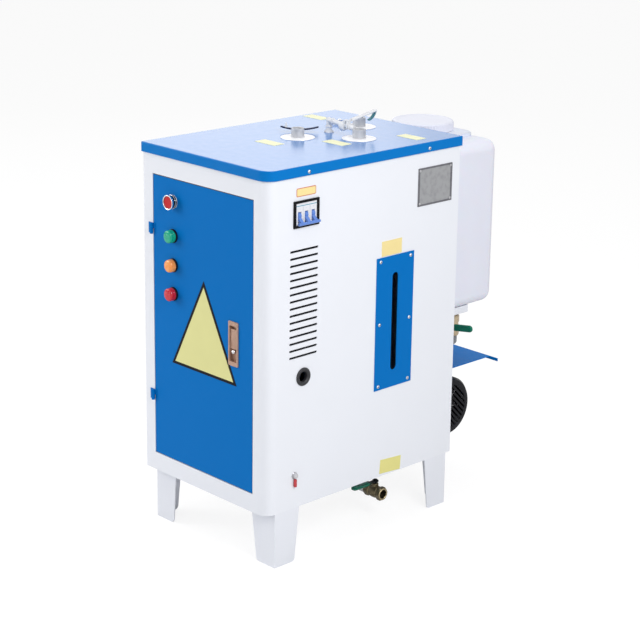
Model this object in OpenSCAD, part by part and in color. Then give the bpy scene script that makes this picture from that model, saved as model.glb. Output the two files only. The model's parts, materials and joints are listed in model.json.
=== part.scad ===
// Electric steam boiler: a sheet steel cabinet on four legs, with a water tank and a feed pump behind.
// Millimetres, +Z up, door towards -Y. The cabinet's own frame has its origin at the middle of the
// front face's bottom edge; place() moves it to the middle of the footprint on the floor.

/* [Cabinet] */
// Width of the cabinet, side face to side face
cabinet_w = 370; // [330:5:450]
// Depth of the cabinet, front face to back face
cabinet_d = 530; // [500:5:620]
// Height of the side sheets under the lid's top sheet
cabinet_h = 686.5; // [660:0.5:760]
// Thickness of the cabinet's sheet steel
sheet_t = 1.5; // [1:0.1:2.5]
// Outer radius of the right front corner
corner_r = 24; // [15:1:30]
// Outer radius of the left front corner, a plain fold
fold_r = 2; // [1:0.5:6]
// Thickness of the base pan
base_t = 2; // [1.5:0.5:4]
// Free depth between the partition behind the door and the drum's insulation
partition_gap = 44; // [40:1:50]

/* [Lid] */
// Height of the lid, with its top sheet
lid_h = 20; // [14:1:30]
// Overhang of the lid past the front and the sides
lid_lap = 3; // [2.5:0.5:6]
// Overhang of the lid past the back
lid_lap_rear = 4.5; // [3:0.5:8]

/* [Legs] */
// Height of the legs, floor to cabinet
leg_h = 114; // [90:2:150]
// Sheet thickness of a leg
leg_t = 2.5; // [2:0.5:4]
// Width of a leg's front flange at the top
leg_front_w = 69; // [55:1:80]
// Width of the left front leg's front flange at the top
leg_left_w = 62; // [55:1:80]
// Width of a leg's flanges at the floor
leg_foot_w = 54; // [40:1:55]
// Width of a leg's side flange at the top
leg_side_w = 65; // [56:1:80]
// Set-back of the right front leg from the front face
leg_inset_front = 24; // [10:1:40]
// Set-back of the left front leg from the front face
leg_left_front = 17; // [10:1:40]
// Set-back of the left legs from the left side face
leg_inset_left = 13; // [5:1:30]
// Set-back of the rear legs from the back face
leg_inset_rear = 13; // [5:1:40]

/* [Door] */
// Free width of the front face left of the door
door_left = 32; // [26:1:40]
// Free width of the front face right of the door
door_right = 41; // [30:1:60]
// Free height of the front face under the door
door_low = 40; // [30:1:60]
// Free height over the door, up to the lid's skirt
door_high = 41.5; // [30:0.5:60]
// Gap round the door
door_gap = 2; // [1.5:0.5:4]
// Depth of the door's folded edges
door_fold = 18; // [16:1:22]
// Height of a hinge
hinge_h = 22; // [16:2:40]
// Outer radius of a hinge's knuckle
hinge_r = 3.5; // [3:0.1:4]
// Radius of a hinge's pin
hinge_pin_r = 2; // [1.5:0.1:2.3]
// Place of the upper hinge, from the cabinet's bottom
hinge_high_z = 516; // [450:1:560]
// Place of the lower hinge, from the cabinet's bottom
hinge_low_z = 164.5; // [100:0.5:240]

/* [Controls] */
// Place of the controls on the door, from the door's left edge
control_x = 61; // [50:1:90]
// Place of the start button, from the cabinet's bottom
button_z = 581.7; // [560:0.1:600]
// Place of the green lamp, from the cabinet's bottom
lamp_green_z = 512; // [500:1:530]
// Place of the amber lamp, from the cabinet's bottom
lamp_amber_z = 452; // [440:1:470]
// Place of the red lamp, from the cabinet's bottom
lamp_red_z = 393; // [380:1:410]
// Outer radius of a lamp's bezel
bezel_r = 14; // [13.5:0.5:18]
// Radius of the holes for the controls
control_hole_r = 11.2; // [10.5:0.1:12.5]
// Travel of the start button
button_travel = 4; // [2:0.5:5]

/* [Latch] */
// Width of the latch's plate
latch_w = 27.6; // [24:0.1:34]
// Height of the latch's plate
latch_h = 89.7; // [80:0.1:110]
// Place of the latch's middle, from the door's right edge
latch_x = 53.7; // [40:0.1:70]
// Place of the latch's middle, from the cabinet's bottom
latch_z = 332.8; // [320:0.1:345]
// Travel of the latch's bolt
bolt_travel = 8; // [4:0.5:9]

/* [Breaker] */
// Width of the breaker's frame
breaker_w = 66; // [60:0.5:75]
// Height of the breaker's frame
breaker_h = 52.7; // [50:0.1:60]
// Width of the breaker's face, three poles
breaker_face_w = 54; // [50:0.5:58]
// Height of the breaker's face
breaker_face_h = 43; // [40:0.5:48]
// Place of the breaker's middle, as a share of the front bay's depth
breaker_share = 0.582; // [0.54:0.001:0.62]
// Place of the breaker's middle, from the cabinet's bottom
breaker_z = 595.4; // [580:0.1:610]

/* [Side face] */
// Number of louvre slots
louvre_n = 16; // [8:1:18]
// Length of a louvre slot, as a share of the front bay's depth
louvre_share = 0.4375; // [0.3:0.0005:0.47]
// Height of a louvre slot
louvre_h = 4.6; // [3:0.1:6]
// Pitch of the louvre slots
louvre_pitch = 14.1; // [10:0.1:14.5]
// Place of the top slot, from the cabinet's bottom
louvre_top_z = 523.9; // [500:0.1:540]
// Place of the cable grommet, as a share of the front bay's depth
grommet_share = 0.5685; // [0.48:0.0005:0.7]
// Place of the cable grommet, from the cabinet's bottom
grommet_z = 268.7; // [230:0.1:280]
// Outer radius of the grommet
grommet_r = 18.5; // [16:0.5:24]
// Radius of the grommet's bore
grommet_bore_r = 10; // [6:0.5:11.5]
// Place of the earth screw, as a share of the front bay's depth
earth_share = 0.4435; // [0.36:0.0005:0.65]
// Place of the earth screw, from the cabinet's bottom
earth_z = 69.3; // [60:0.1:110]

/* [Sight plate] */
// Width of the sight plate
sight_w = 106.8; // [90:0.2:130]
// Height of the sight plate
sight_h = 278.3; // [260:0.1:300]
// Place of the sight plate's middle, from the cabinet's bottom
sight_z = 330.2; // [310:0.1:345]
// Width of the slot in the sight plate
slot_w = 16.4; // [14:0.2:20]
// Height of the slot in the sight plate
slot_h = 206; // [180:1:220]
// Radius of the gauge glass
glass_r = 5; // [4:0.5:6]

/* [Name plate] */
// Width of the name plate
plate_w = 100.9; // [80:0.1:110]
// Height of the name plate
plate_h = 78.9; // [60:0.1:85]
// Place of the name plate's middle, from the back face
plate_y = 73.3; // [60:0.1:90]
// Place of the name plate's middle, from the cabinet's bottom
plate_z = 597; // [560:1:610]

/* [Boiler drum] */
// Radius of the drum's shell
drum_r = 125; // [110:1:130]
// Wall of the drum
drum_wall = 5; // [4:0.5:8]
// Thickness of the drum's insulation
jacket_t = 12; // [8:1:14]
// Place of the drum's axis, left of the cabinet's middle
drum_x = 15; // [10:1:25]
// Place of the drum's axis, from the cabinet's back face
drum_back = 181; // [177:1:188]
// Underside of the drum's shell, from the cabinet's bottom
drum_low_z = 95; // [85:1:110]
// Height of the drum's shell without its domed ends
drum_h = 460; // [400:5:480]
// Height of a domed end
dome_h = 32; // [25:1:40]

/* [Steam outlets] */
// Radius of the circle that the three outlets stand on
outlet_circle_r = 87.5; // [80:0.5:92]
// Outer radius of an outlet socket
socket_r = 13.3; // [12.6:0.1:15]
// Radius of an outlet socket's bore
socket_bore_r = 9.3; // [8.5:0.1:10]
// Height of an outlet socket over the lid
socket_over = 20; // [16:1:26]
// Length of an outlet socket
socket_len = 34; // [30:1:38]
// Radius of the pipes that carry the sockets
pipe_r = 10.65; // [10.2:0.05:11]
// Radius of an escutcheon
escutcheon_r = 35; // [28:0.5:36]
// Thickness of an escutcheon
escutcheon_t = 2; // [1:0.5:2.5]

/* [Drain valve] */
// Drop of the drain valve's axis under the cabinet
drain_drop = 55; // [45:1:70]
// Radius of the drain valve's ends
drain_end_r = 13.2; // [12:0.1:16]
// Radius of the drain valve's outlet
drain_bore_r = 9.3; // [7:0.1:10]
// Length of the drain valve
drain_len = 48; // [42:1:60]
// Set-back of the drain valve's mouth from the side face
drain_inset = 20; // [5:1:40]
// Length of the drain lever, from its spindle
drain_lever_len = 68; // [55:1:90]

/* [Water tank] */
// Width of the tank
tank_w = 300; // [260:2:330]
// Depth of the tank
tank_d = 160; // [158:1:190]
// Height of the tank
tank_h = 359; // [300:1:380]
// Underside of the tank, from the cabinet's bottom
tank_z = 297; // [285:1:320]
// Gap between the tank and the cabinet's back
tank_gap = 5; // [2:1:15]
// Radius of the tank's edges
tank_edge_r = 24; // [15:1:30]
// Wall of the tank
tank_wall = 3; // [2:0.5:5]
// Radius of the tank's neck
neck_r = 62; // [50:0.5:63]
// Radius of the tank's cap, without its ribs
cap_r = 65.5; // [54:0.5:67]
// Height of the tank's cap
cap_h = 20; // [15:1:30]
// Number of ribs round the cap
cap_ribs = 60; // [24:1:72]

/* [Tank shelf and valve] */
// Width of the shelf under the tank
tray_w = 270; // [240:2:300]
// Depth of the shelf under the tank
tray_d = 100; // [96:1:130]
// Height of the shelf's lip
tray_lip = 16; // [12:1:30]
// Place of the tank's outlet, right of the cabinet's middle
tap_x = 110; // [95:1:115]
// Place of the tank's outlet, from the cabinet's back face
tap_y = 82; // [80:1:84]
// Length of the tank valve's lever
tap_lever_len = 76; // [50:1:80]
// Outer radius of the feed hose
hose_r = 7; // [6:0.5:8]
// Bore radius of the feed hose
hose_bore_r = 5; // [3:0.5:5.2]

/* [Feed pump] */
// Radius of the fan cowl
cowl_r = 66.5; // [60:0.5:70]
// Place of the motor's axis, from the cabinet's back face
motor_y = 87; // [82:1:100]
// Place of the motor's axis, from the cabinet's bottom
motor_z = 56; // [52:1:64]
// Place of the cowl's face, right of the cabinet's middle
motor_x = 103; // [95:1:110]
// Length of the fan cowl
cowl_len = 52; // [45:1:60]
// Length of the motor's body
motor_len = 120; // [105:1:130]
// Radius of the motor's shaft
shaft_r = 6; // [5:0.5:8]
// Width of the pump cover
cover_w = 250; // [230:2:280]
// Depth of the pump cover
cover_d = 192; // [180:1:210]
// Place of the pump cover, from the cabinet's bottom
cover_z = 156; // [150:1:170]

/* [Hidden] */
$fn = 64;
// Overrun of every cut past the face that it opens
over = 1;
// Clearance between pieces that slide or turn on each other
fit_gap = 0.3;
// Running clearance of a pin or shaft in its hole
run_gap = 0.05;
// Reach of the breaker's bar past the side face, the widest thing on the right
bar_reach = 13;
// Reach of the lamps before the front face, the foremost thing
lamp_reach = 16;
origin_x = (lid_lap - bar_reach) / 2;
origin_y = (lamp_reach - cabinet_d - cover_d) / 2;
half_w = cabinet_w / 2;
lid_top = cabinet_h + sheet_t;
skirt_z = lid_top - lid_h;
drum_y = cabinet_d - drum_back;
// Depth of the bay behind the door, as far as the partition
partition_y = drum_y - drum_r - jacket_t - partition_gap;
breaker_y = breaker_share * partition_y;
louvre_w = louvre_share * partition_y;
grommet_y = grommet_share * partition_y;
earth_y = earth_share * partition_y;

module place() translate([origin_x, origin_y, leg_h]) children();
// A drawing on the right side face: x runs to the back, y up, z out of the cabinet
module on_side(y, z) translate([half_w, y, z]) rotate([90, 0, 90]) children();
// A drawing on the front face: x runs right, y up, z out of the cabinet
module on_front(x, z) translate([x, 0, z]) rotate([90, 0, 0]) children();
module box(low, high) translate(low) cube(high - low);
module rod_x(r, len) rotate([0, 90, 0]) cylinder(r = r, h = len);
module rod_y(r, len) rotate([-90, 0, 0]) cylinder(r = r, h = len);
module ring(outer, inner, h) difference() {
  cylinder(r = outer, h = h);
  translate([0, 0, -over]) cylinder(r = inner, h = h + 2 * over);
}
module hex(across, h) cylinder(r = across / sqrt(3), h = h, $fn = 6);
// A flat bar with round corners, its middle at the origin
module round_bar(w, h, r) {
  square([w - 2 * r, h], center = true);
  square([w, h - 2 * r], center = true);
  for (i = [-1, 1], j = [-1, 1]) translate([i * (w / 2 - r), j * (h / 2 - r)]) circle(r);
}
// Outline with a wide round at the right front corner and a fold at the left one, grown by lap in front
// and beside, and by rear behind
module front_round(lap, rear) {
  r = corner_r + lap;
  w = half_w + lap;
  translate([-w, fold_r - lap]) square([2 * w - r, cabinet_d + rear + lap - fold_r]);
  translate([w - r - over, corner_r]) square([r + over, cabinet_d + rear - corner_r]);
  translate([fold_r - w, -lap]) square([2 * w - fold_r - r, fold_r + over]);
  translate([fold_r - w, fold_r - lap]) circle(fold_r);
  translate([w - r, corner_r]) circle(r);
}
// Profile points of a dome of radius r and height h, from its rim to its crown
function dome(r, h, z0, up) = [for (a = [0:9:90]) [r * cos(a), z0 + up * h * sin(a)]];

// Cabinet and lid
door_x0 = door_left - half_w;
door_x1 = half_w - door_right;
door_z1 = skirt_z - door_high;
control_cx = door_x0 + control_x;
latch_cx = door_x1 - latch_x;
sight_shift = 3;
sight_y = drum_y - sight_shift;
sight_cut_w = 60;
sight_cut_h = 240;
stud_r = 4;
grommet_hole_r = 14;
screw_r = 2;
lid_screw_front_y = 102;
lid_screw_rear_y = 95;
lid_screw_up = 7;
lid_screw_z = skirt_z + lid_screw_up;
feed_z = 140;
feed_r = 7;
feed_hole_r = 9;
cable_hole_r = 6;
cable_x = -1;
cable_z = 132;
vent_w = 70;
louvre_shift = 3;
louvre_y = breaker_y - louvre_shift;

module screw_hole(r) translate([0, 0, -sheet_t - over]) cylinder(r = r + run_gap, h = sheet_t + 2 * over);
// Front sheet with its round corners and the folded edges of the door opening
module front_frame() color([0.94, 0.95, 0.98]) place() {
  frame_depth = door_fold + sheet_t;
  difference() {
    linear_extrude(cabinet_h) intersection() {
      difference() {
        front_round(0, 0);
        front_round(-sheet_t, sheet_t + over);
      }
      translate([-half_w, 0]) square([cabinet_w, corner_r]);
    }
    box([door_x0 - door_gap, -over, door_low - door_gap],
        [door_x1 + door_gap, sheet_t + over, door_z1 + door_gap]);
  }
  difference() {
    box([door_x0 - door_gap - sheet_t, sheet_t, door_low - door_gap - sheet_t],
        [door_x1 + door_gap + sheet_t, frame_depth, door_z1 + door_gap + sheet_t]);
    box([door_x0 - door_gap, 0, door_low - door_gap],
        [door_x1 + door_gap, frame_depth + over, door_z1 + door_gap]);
  }
}
// Two flat side sheets behind the corners, and the back sheet between them
module side_and_back_sheets() color([0.94, 0.95, 0.98]) place() {
  difference() {
    for (x = [-half_w, half_w - sheet_t]) box([x, corner_r, 0], [x + sheet_t, cabinet_d, cabinet_h]);
    for (i = [0:louvre_n - 1])
      on_side(louvre_y, louvre_top_z - i * louvre_pitch) translate([0, 0, -sheet_t - over])
        linear_extrude(sheet_t + 2 * over) round_bar(louvre_w, louvre_h, louvre_h / 2 - run_gap);
    on_side(breaker_y, breaker_z) translate([0, 0, -sheet_t - over]) linear_extrude(sheet_t + 2 * over)
      square([breaker_face_w + fit_gap, breaker_face_h + fit_gap], center = true);
    on_side(grommet_y, grommet_z) translate([0, 0, -sheet_t - over])
      cylinder(r = grommet_hole_r, h = sheet_t + 2 * over);
    on_side(earth_y, earth_z) translate([0, 0, -sheet_t - over])
      cylinder(r = stud_r + fit_gap, h = sheet_t + 2 * over);
    on_side(sight_y, sight_z) translate([0, 0, -sheet_t - over]) linear_extrude(sheet_t + 2 * over)
      square([sight_cut_w, sight_cut_h], center = true);
    at_lid_screws() screw_hole(screw_r);
    at_sight_screws() screw_hole(screw_r);
    at_rivets() screw_hole(rivet_r);
  }
  difference() {
    box([sheet_t + run_gap - half_w, cabinet_d - sheet_t, base_t],
        [half_w - sheet_t - run_gap, cabinet_d, cabinet_h]);
    translate([feed_x, cabinet_d - sheet_t - over, feed_z]) rod_y(feed_hole_r, sheet_t + 2 * over);
    translate([cable_x, cabinet_d - sheet_t - over, cable_z]) rod_y(cable_hole_r, sheet_t + 2 * over);
  }
}
module base_pan() color([0.92, 0.93, 0.96]) place() difference() {
  linear_extrude(base_t) front_round(-sheet_t, 0);
  translate([-drum_x, drum_y, -over]) cylinder(r = pipe_r + 2 * base_t, h = base_t + 2 * over);
  for (i = [-1:1]) translate([i * vent_w, partition_y / 2, -over])
    linear_extrude(base_t + 2 * over) round_bar(vent_w / 2, vent_w / 5, vent_w / 11);
}

// Legs
foot_corner_r = 8;
foot_pad_w = 24;
module leg_flange(top_w) linear_extrude(leg_t) {
  polygon([[0, 0], [top_w, 0], [leg_foot_w, foot_corner_r - leg_h],
           [leg_foot_w - foot_corner_r, -leg_h], [0, -leg_h]]);
  translate([leg_foot_w - foot_corner_r, foot_corner_r - leg_h]) circle(foot_corner_r);
}
// One leg with its corner at the origin, its flanges along +X and +Y
module leg(front_w, side_w) {
  translate([0, leg_t, 0]) rotate([90, 0, 0]) leg_flange(front_w);
  rotate([90, 0, 90]) leg_flange(side_w);
  box([0, 0, -leg_t], [front_w, side_w, 0]);
  box([0, 0, -leg_h], [foot_pad_w, foot_pad_w, leg_t - leg_h]);
}
module legs() color([0.93, 0.94, 0.97]) place() {
  translate([leg_inset_left - half_w, leg_left_front, 0]) leg(leg_left_w, leg_side_w);
  translate([half_w, leg_inset_front, 0]) mirror([1, 0, 0]) leg(leg_front_w, leg_side_w);
  translate([leg_inset_left - half_w, cabinet_d - leg_inset_rear, 0]) mirror([0, 1, 0])
    leg(leg_front_w, leg_side_w);
  translate([half_w, cabinet_d - leg_inset_rear, 0]) mirror([0, 1, 0]) mirror([1, 0, 0])
    leg(leg_front_w, leg_side_w);
}

// Lid, with a hole for each thing that comes up through it
function outlet_at(i) =
    [outlet_circle_r * cos(90 * i - 90) - drum_x, drum_y + outlet_circle_r * sin(90 * i - 90)];
front_cock_at = [-40, -45];
rear_cock_at = [-50, 80];
front_cock = front_cock_at + [-drum_x, drum_y];
rear_cock = rear_cock_at + [-drum_x, drum_y];
cock_neck_r = 7;
relief_neck_r = 6;
// The top sheet, and under its edge the strips of the skirt
module top_lid() color([0, 0.45, 0.78]) place() {
  w = half_w + lid_lap;
  back = cabinet_d + lid_lap_rear;
  difference() {
    translate([0, 0, cabinet_h]) linear_extrude(sheet_t) front_round(lid_lap, lid_lap_rear);
    for (i = [0:2]) translate(concat(outlet_at(i), skirt_z))
        cylinder(r = socket_r + fit_gap, h = lid_h + over);
    for (p = [front_cock, rear_cock]) translate(concat(p, skirt_z))
      cylinder(r = cock_neck_r + fit_gap, h = lid_h + over);
    translate([-drum_x, drum_y, skirt_z]) cylinder(r = relief_neck_r + fit_gap, h = lid_h + over);
  }
  difference() {
    translate([0, 0, skirt_z]) linear_extrude(lid_h - sheet_t - run_gap) difference() {
      front_round(lid_lap, lid_lap_rear);
      front_round(lid_lap - sheet_t, lid_lap_rear - sheet_t);
      translate([sheet_t - w, sheet_t - lid_lap]) square(corner_r);
      for (x = [sheet_t - w, w - corner_r - lid_lap]) translate([x, -lid_lap - over])
        square([run_gap, sheet_t + 2 * over]);
      for (x = [sheet_t - w, w - sheet_t - run_gap]) translate([x, back - sheet_t - over])
        square([run_gap, sheet_t + 2 * over]);
      translate([w - sheet_t - over, corner_r]) square([sheet_t + 2 * over, run_gap]);
    }
    at_lid_screws() translate([0, 0, lid_lap]) screw_hole(screw_r);
  }
}

// Door with its folded edges and its hinge leaves
hinge_x = door_x0 - hinge_r;
leaf_w = 8;
latch_body_in = 2.5;
latch_body_w = latch_w - 2 * latch_body_in;
module door_panel() color([0.01, 0.41, 0.72]) place() {
  difference() {
    box([door_x0, 0, door_low], [door_x1, door_fold, door_z1]);
    box([door_x0 + sheet_t, sheet_t, door_low + sheet_t],
        [door_x1 - sheet_t, door_fold + over, door_z1 - sheet_t]);
    for (z = [button_z, lamp_green_z, lamp_amber_z, lamp_red_z])
      on_front(control_cx, z) translate([0, 0, -sheet_t - over])
        cylinder(r = control_hole_r, h = sheet_t + 2 * over);
    on_front(latch_cx, latch_z) translate([0, 0, -sheet_t - over])
      linear_extrude(sheet_t + 2 * over)
        square([latch_body_w + 2 * fit_gap, latch_h - latch_w / 3], center = true);
    box([door_x1 - sheet_t - over, bolt_y - fit_gap, latch_z - bolt_h / 2 - fit_gap],
        [door_x1 + over, bolt_y + bolt_t + fit_gap, latch_z + bolt_h / 2 + fit_gap]);
  }
  for (z = [hinge_low_z, hinge_high_z]) translate([hinge_x, -hinge_r, z + fit_gap / 2]) {
    ring(hinge_r - fit_gap, hinge_pin_r + run_gap, (hinge_h - fit_gap) / 2);
    box([hinge_pin_r + run_gap, hinge_r - sheet_t, 0], [leaf_w, hinge_r, (hinge_h - fit_gap) / 2]);
  }
}
module hinge_brackets() color([0.01, 0.41, 0.72]) place() for (z = [hinge_low_z, hinge_high_z])
  translate([hinge_x, -hinge_r, z]) {
    translate([0, 0, -hinge_h / 2]) cylinder(r = hinge_r, h = (hinge_h - fit_gap) / 2);
    translate([0, 0, -hinge_h / 2]) cylinder(r = hinge_pin_r, h = hinge_h);
    box([-leaf_w - hinge_r, hinge_r - sheet_t, -hinge_h / 2], [0, hinge_r, -fit_gap / 2]);
    box([-leaf_w - hinge_r, hinge_r - sheet_t, -fit_gap], [-hinge_r - fit_gap, hinge_r, hinge_h / 2]);
  }

// Start button and lamps, drawn on the door face with z out of the door
body_r = 11;
body_len = 30;
block_w = 28;
block_len = 18;
button_ring_r = 15;
button_ring_h = 4.5;
button_barrel_h = 10;
button_cap_r = 12.4;
button_stem_r = 4;
module control_body() {
  translate([0, 0, -sheet_t - body_len]) cylinder(r = body_r, h = body_len + sheet_t);
  translate([0, 0, -sheet_t - body_len]) translate([-block_w / 2, -block_w / 2, 0])
    cube([block_w, block_w, block_len]);
}
module start_button_housing() color([0.8, 0.82, 0.84]) place() on_front(control_cx, button_z)
  difference() {
    union() {
      control_body();
      cylinder(r = bezel_r, h = sheet_t);
      cylinder(r = button_cap_r + sheet_t, h = button_barrel_h);
      translate([0, 0, button_barrel_h]) cylinder(r = button_ring_r, h = button_ring_h);
    }
    translate([0, 0, button_ring_h - sheet_t])
      cylinder(r = button_cap_r + fit_gap, h = button_barrel_h + sheet_t + over);
    translate([0, 0, -body_len / 2]) cylinder(r = button_stem_r + fit_gap, h = body_len);
  }
module start_button_cap() color([0.85, 0.25, 0.27]) place() on_front(control_cx, button_z) {
  translate([0, 0, button_barrel_h - sheet_t]) cylinder(r = button_cap_r, h = button_ring_h);
  translate([0, 0, button_travel - body_len / 2 + fit_gap])
    cylinder(r = button_stem_r, h = body_len / 2 + button_barrel_h - button_travel - sheet_t);
}
lens_r = 13;
lens_neck_r = 11.8;
lens_base_h = 5;
lens_groove_h = 1.5;
bezel_h = 4;
lens_spigot_r = 9;
module lamp_bodies() color([0.09, 0.09, 0.11]) place()
  for (z = [lamp_green_z, lamp_amber_z, lamp_red_z]) on_front(control_cx, z) difference() {
    union() {
      control_body();
      cylinder(r = bezel_r, h = bezel_h);
    }
    translate([0, 0, -body_r]) cylinder(r = lens_spigot_r + fit_gap, h = body_r + bezel_h + over);
  }
module lamp_lens(z) place() on_front(control_cx, z) rotate_extrude() polygon([
  [0, fit_gap - body_r / 2], [lens_spigot_r, fit_gap - body_r / 2], [lens_spigot_r, bezel_h],
  [lens_r - sheet_t / 2, bezel_h], [lens_r, bezel_h + lens_base_h / 2],
  [lens_neck_r, bezel_h + lens_base_h], [lens_neck_r, bezel_h + lens_base_h + lens_groove_h],
  [lens_r, bezel_h + lens_base_h + lens_groove_h], [lens_r, lamp_reach - sheet_t],
  [lens_r - sheet_t, lamp_reach], [0, lamp_reach]]);
module lamp_lens_green() color([0.04, 0.65, 0.51]) lamp_lens(lamp_green_z);
module lamp_lens_amber() color([0.96, 0.59, 0.35]) lamp_lens(lamp_amber_z);
module lamp_lens_red() color([0.78, 0.16, 0.23]) lamp_lens(lamp_red_z);

// Latch: a plate with a pocket, a paddle on a pin, a release button and a sliding bolt
latch_plate_t = 2.5;
latch_rim = 3.5;
pocket_depth = 4.5;
pocket_w = latch_w - 2 * latch_rim;
pocket_h = latch_h - 2 * latch_rim;
latch_depth = 21;
paddle_w = pocket_w - 4 * fit_gap;
paddle_h = 40;
paddle_top = 29.2;
paddle_t = 2.4;
paddle_pin_r = 1.2;
paddle_pin_in = 2;
paddle_pin_y = paddle_top - paddle_pin_in;
paddle_pin_z = -1;
release_r = 4.3;
release_drop = 16.2;
release_travel = 3;
bolt_y = 12;
bolt_t = 4.4;
bolt_h = 11.4;
module latch_housing() color([0.78, 0.75, 0.72]) place() on_front(latch_cx, latch_z) difference() {
  union() {
    linear_extrude(latch_plate_t) round_bar(latch_w, latch_h, latch_plate_t);
    translate([0, 0, -latch_depth]) linear_extrude(latch_depth)
      square([latch_body_w, latch_h - latch_w / 2], center = true);
  }
  translate([0, 0, -pocket_depth]) linear_extrude(pocket_depth + latch_plate_t + over)
    intersection() {
      round_bar(pocket_w, pocket_h, latch_plate_t);
      square([pocket_w, latch_h - latch_w / 2 - latch_rim], center = true);
    }
  translate([-latch_body_w / 2 - over, paddle_pin_y, paddle_pin_z])
    rod_x(paddle_pin_r + run_gap, latch_body_w + 2 * over);
  translate([0, -release_drop, -pocket_depth - release_travel - latch_rim])
    cylinder(r = release_r + fit_gap, h = latch_depth);
  translate([-latch_body_w / 2 + latch_rim - bolt_travel / 4, -bolt_h / 2 - fit_gap,
      -bolt_y - bolt_t - fit_gap])
    cube([latch_body_w, bolt_h + 2 * fit_gap, bolt_t + 2 * fit_gap]);
}
module latch_paddle() color([0.74, 0.7, 0.66]) place() on_front(latch_cx, latch_z) {
  difference() {
    translate([-paddle_w / 2, paddle_top - paddle_h, paddle_pin_z - paddle_t / 2])
      cube([paddle_w, paddle_h, paddle_t]);
    translate([-paddle_w / 2 + latch_rim, paddle_top - paddle_h + latch_rim, paddle_pin_z + paddle_t / 4])
      cube([paddle_w - 2 * latch_rim, paddle_h / 4, paddle_t]);
  }
  translate([fit_gap - latch_body_w / 2, paddle_pin_y, paddle_pin_z])
      rod_x(paddle_pin_r, latch_body_w - 2 * fit_gap);
}
module latch_button() color([0.88, 0.88, 0.9]) place() on_front(latch_cx, latch_z)
  translate([0, -release_drop, 0]) {
    translate([0, 0, -pocket_depth - release_travel])
        cylinder(r = release_r, h = pocket_depth + release_travel);
    intersection() {
      cylinder(r = release_r, h = release_r);
      sphere(r = release_r);
    }
  }
module latch_bolt() color([0.7, 0.71, 0.73]) place() on_front(latch_cx, latch_z)
  translate([bolt_travel - latch_body_w / 2 + latch_rim, -bolt_h / 2, -bolt_y - bolt_t])
    cube([latch_x - bolt_travel - fit_gap + latch_body_w / 2 - latch_rim, bolt_h, bolt_t]);

// Plates and labels, all bare
mark_top = 439.2;
mark_low = 247.8;
mark_half = 98;
mark_in = 89.6;
mark_cx = latch_cx - mark_in;
mark_t = 0.6;
module triangle_plate() color([0.9, 0.88, 0.6]) place() on_front(mark_cx, 0)
  linear_extrude(mark_t) difference() {
    polygon([[-mark_half, mark_low], [mark_half, mark_low], [0, mark_top]]);
    translate([latch_cx - mark_cx, latch_z])
      square([latch_w + 2 * fit_gap, latch_h + 2 * fit_gap], center = true);
  }
label_t = 0.5;
side_label = [57.2, 27.7];
breaker_label = [50.6, 16.7];
drain_label = [54.1, 30];
lid_label = [58, 28];
sight_label_z = 487.4;
breaker_label_z = 637.4;
drain_label_z = 19;
// Middles of the four labels on the lid, from the drum's axis, as shares of the drum's radius
lid_label_shares = [[0.02, -1.33], [0.71, -0.51], [-1.06, 0.73], [1.16, 0.74]];
module label_plates() color([0.96, 0.89, 0.6]) place() {
  on_side(breaker_y, breaker_label_z) linear_extrude(label_t)
      round_bar(breaker_label[0], breaker_label[1], 2 * label_t);
  on_side(sight_y, sight_label_z) linear_extrude(label_t) square(side_label, center = true);
  on_side(sight_y, drain_label_z) linear_extrude(label_t) square(drain_label, center = true);
  for (p = lid_label_shares) translate([p[0] * drum_r - drum_x, drum_y + p[1] * drum_r, lid_top])
      linear_extrude(label_t)
    square(lid_label, center = true);
}
plate_t = 1.2;
plate_rim = 3;
rivet_inset = 5.5;
rivet_r = 1.6;
plate_y0 = cabinet_d - plate_y;
module at_rivets() for (i = [-1, 1], j = [-1, 1])
  on_side(plate_y0 + i * (plate_w / 2 - rivet_inset), plate_z + j * (plate_h / 2 - rivet_inset)) children();
module name_plate() color([0.72, 0.73, 0.74]) place() difference() {
  on_side(plate_y0, plate_z) linear_extrude(plate_t) square([plate_w, plate_h], center = true);
  on_side(plate_y0, plate_z) translate([0, 0, plate_t / 2]) linear_extrude(plate_t)
    square([plate_w - 2 * plate_rim, plate_h - 6 * plate_rim], center = true);
  at_rivets() translate([0, 0, -over]) cylinder(r = rivet_r + run_gap, h = plate_t + 2 * over);
}
sight_plate_t = 1.5;
sight_screw_x = 43;
sight_screw_y = 131;
module at_sight_screws() for (i = [-1, 1], j = [-1:1])
  on_side(sight_y + i * sight_screw_x, sight_z + j * sight_screw_y) children();
module at_lid_screws() for (i = [0, 1], y = [lid_screw_front_y, cabinet_d - lid_screw_rear_y])
  mirror([i, 0, 0]) on_side(y, lid_screw_z) children();
module sight_plate() color([0.01, 0.41, 0.72]) place() difference() {
  on_side(sight_y, sight_z) linear_extrude(sight_plate_t) difference() {
    square([sight_w, sight_h], center = true);
    round_bar(slot_w, slot_h, slot_w / 2 - run_gap);
  }
  at_sight_screws() translate([0, 0, -over]) cylinder(r = screw_r + run_gap, h = sight_plate_t + 2 * over);
}
head_r = 3.6;
head_h = 2.2;
module screw(grip) {
  translate([0, 0, -sheet_t - grip]) cylinder(r = screw_r, h = sheet_t + grip);
  intersection() {
    cylinder(r = head_r, h = head_h);
    translate([0, 0, head_h - 2 * head_r]) sphere(r = 2 * head_r);
  }
}
module panel_screws() color([0.8, 0.81, 0.83]) place() {
  at_lid_screws() translate([0, 0, lid_lap]) screw(lid_lap);
  at_sight_screws() translate([0, 0, sight_plate_t]) screw(sight_plate_t);
  at_rivets() translate([0, 0, plate_t]) {
    translate([0, 0, -plate_t - sheet_t]) cylinder(r = rivet_r, h = plate_t + sheet_t);
    cylinder(r = 1.5 * rivet_r, h = rivet_r / 2);
  }
}

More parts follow.
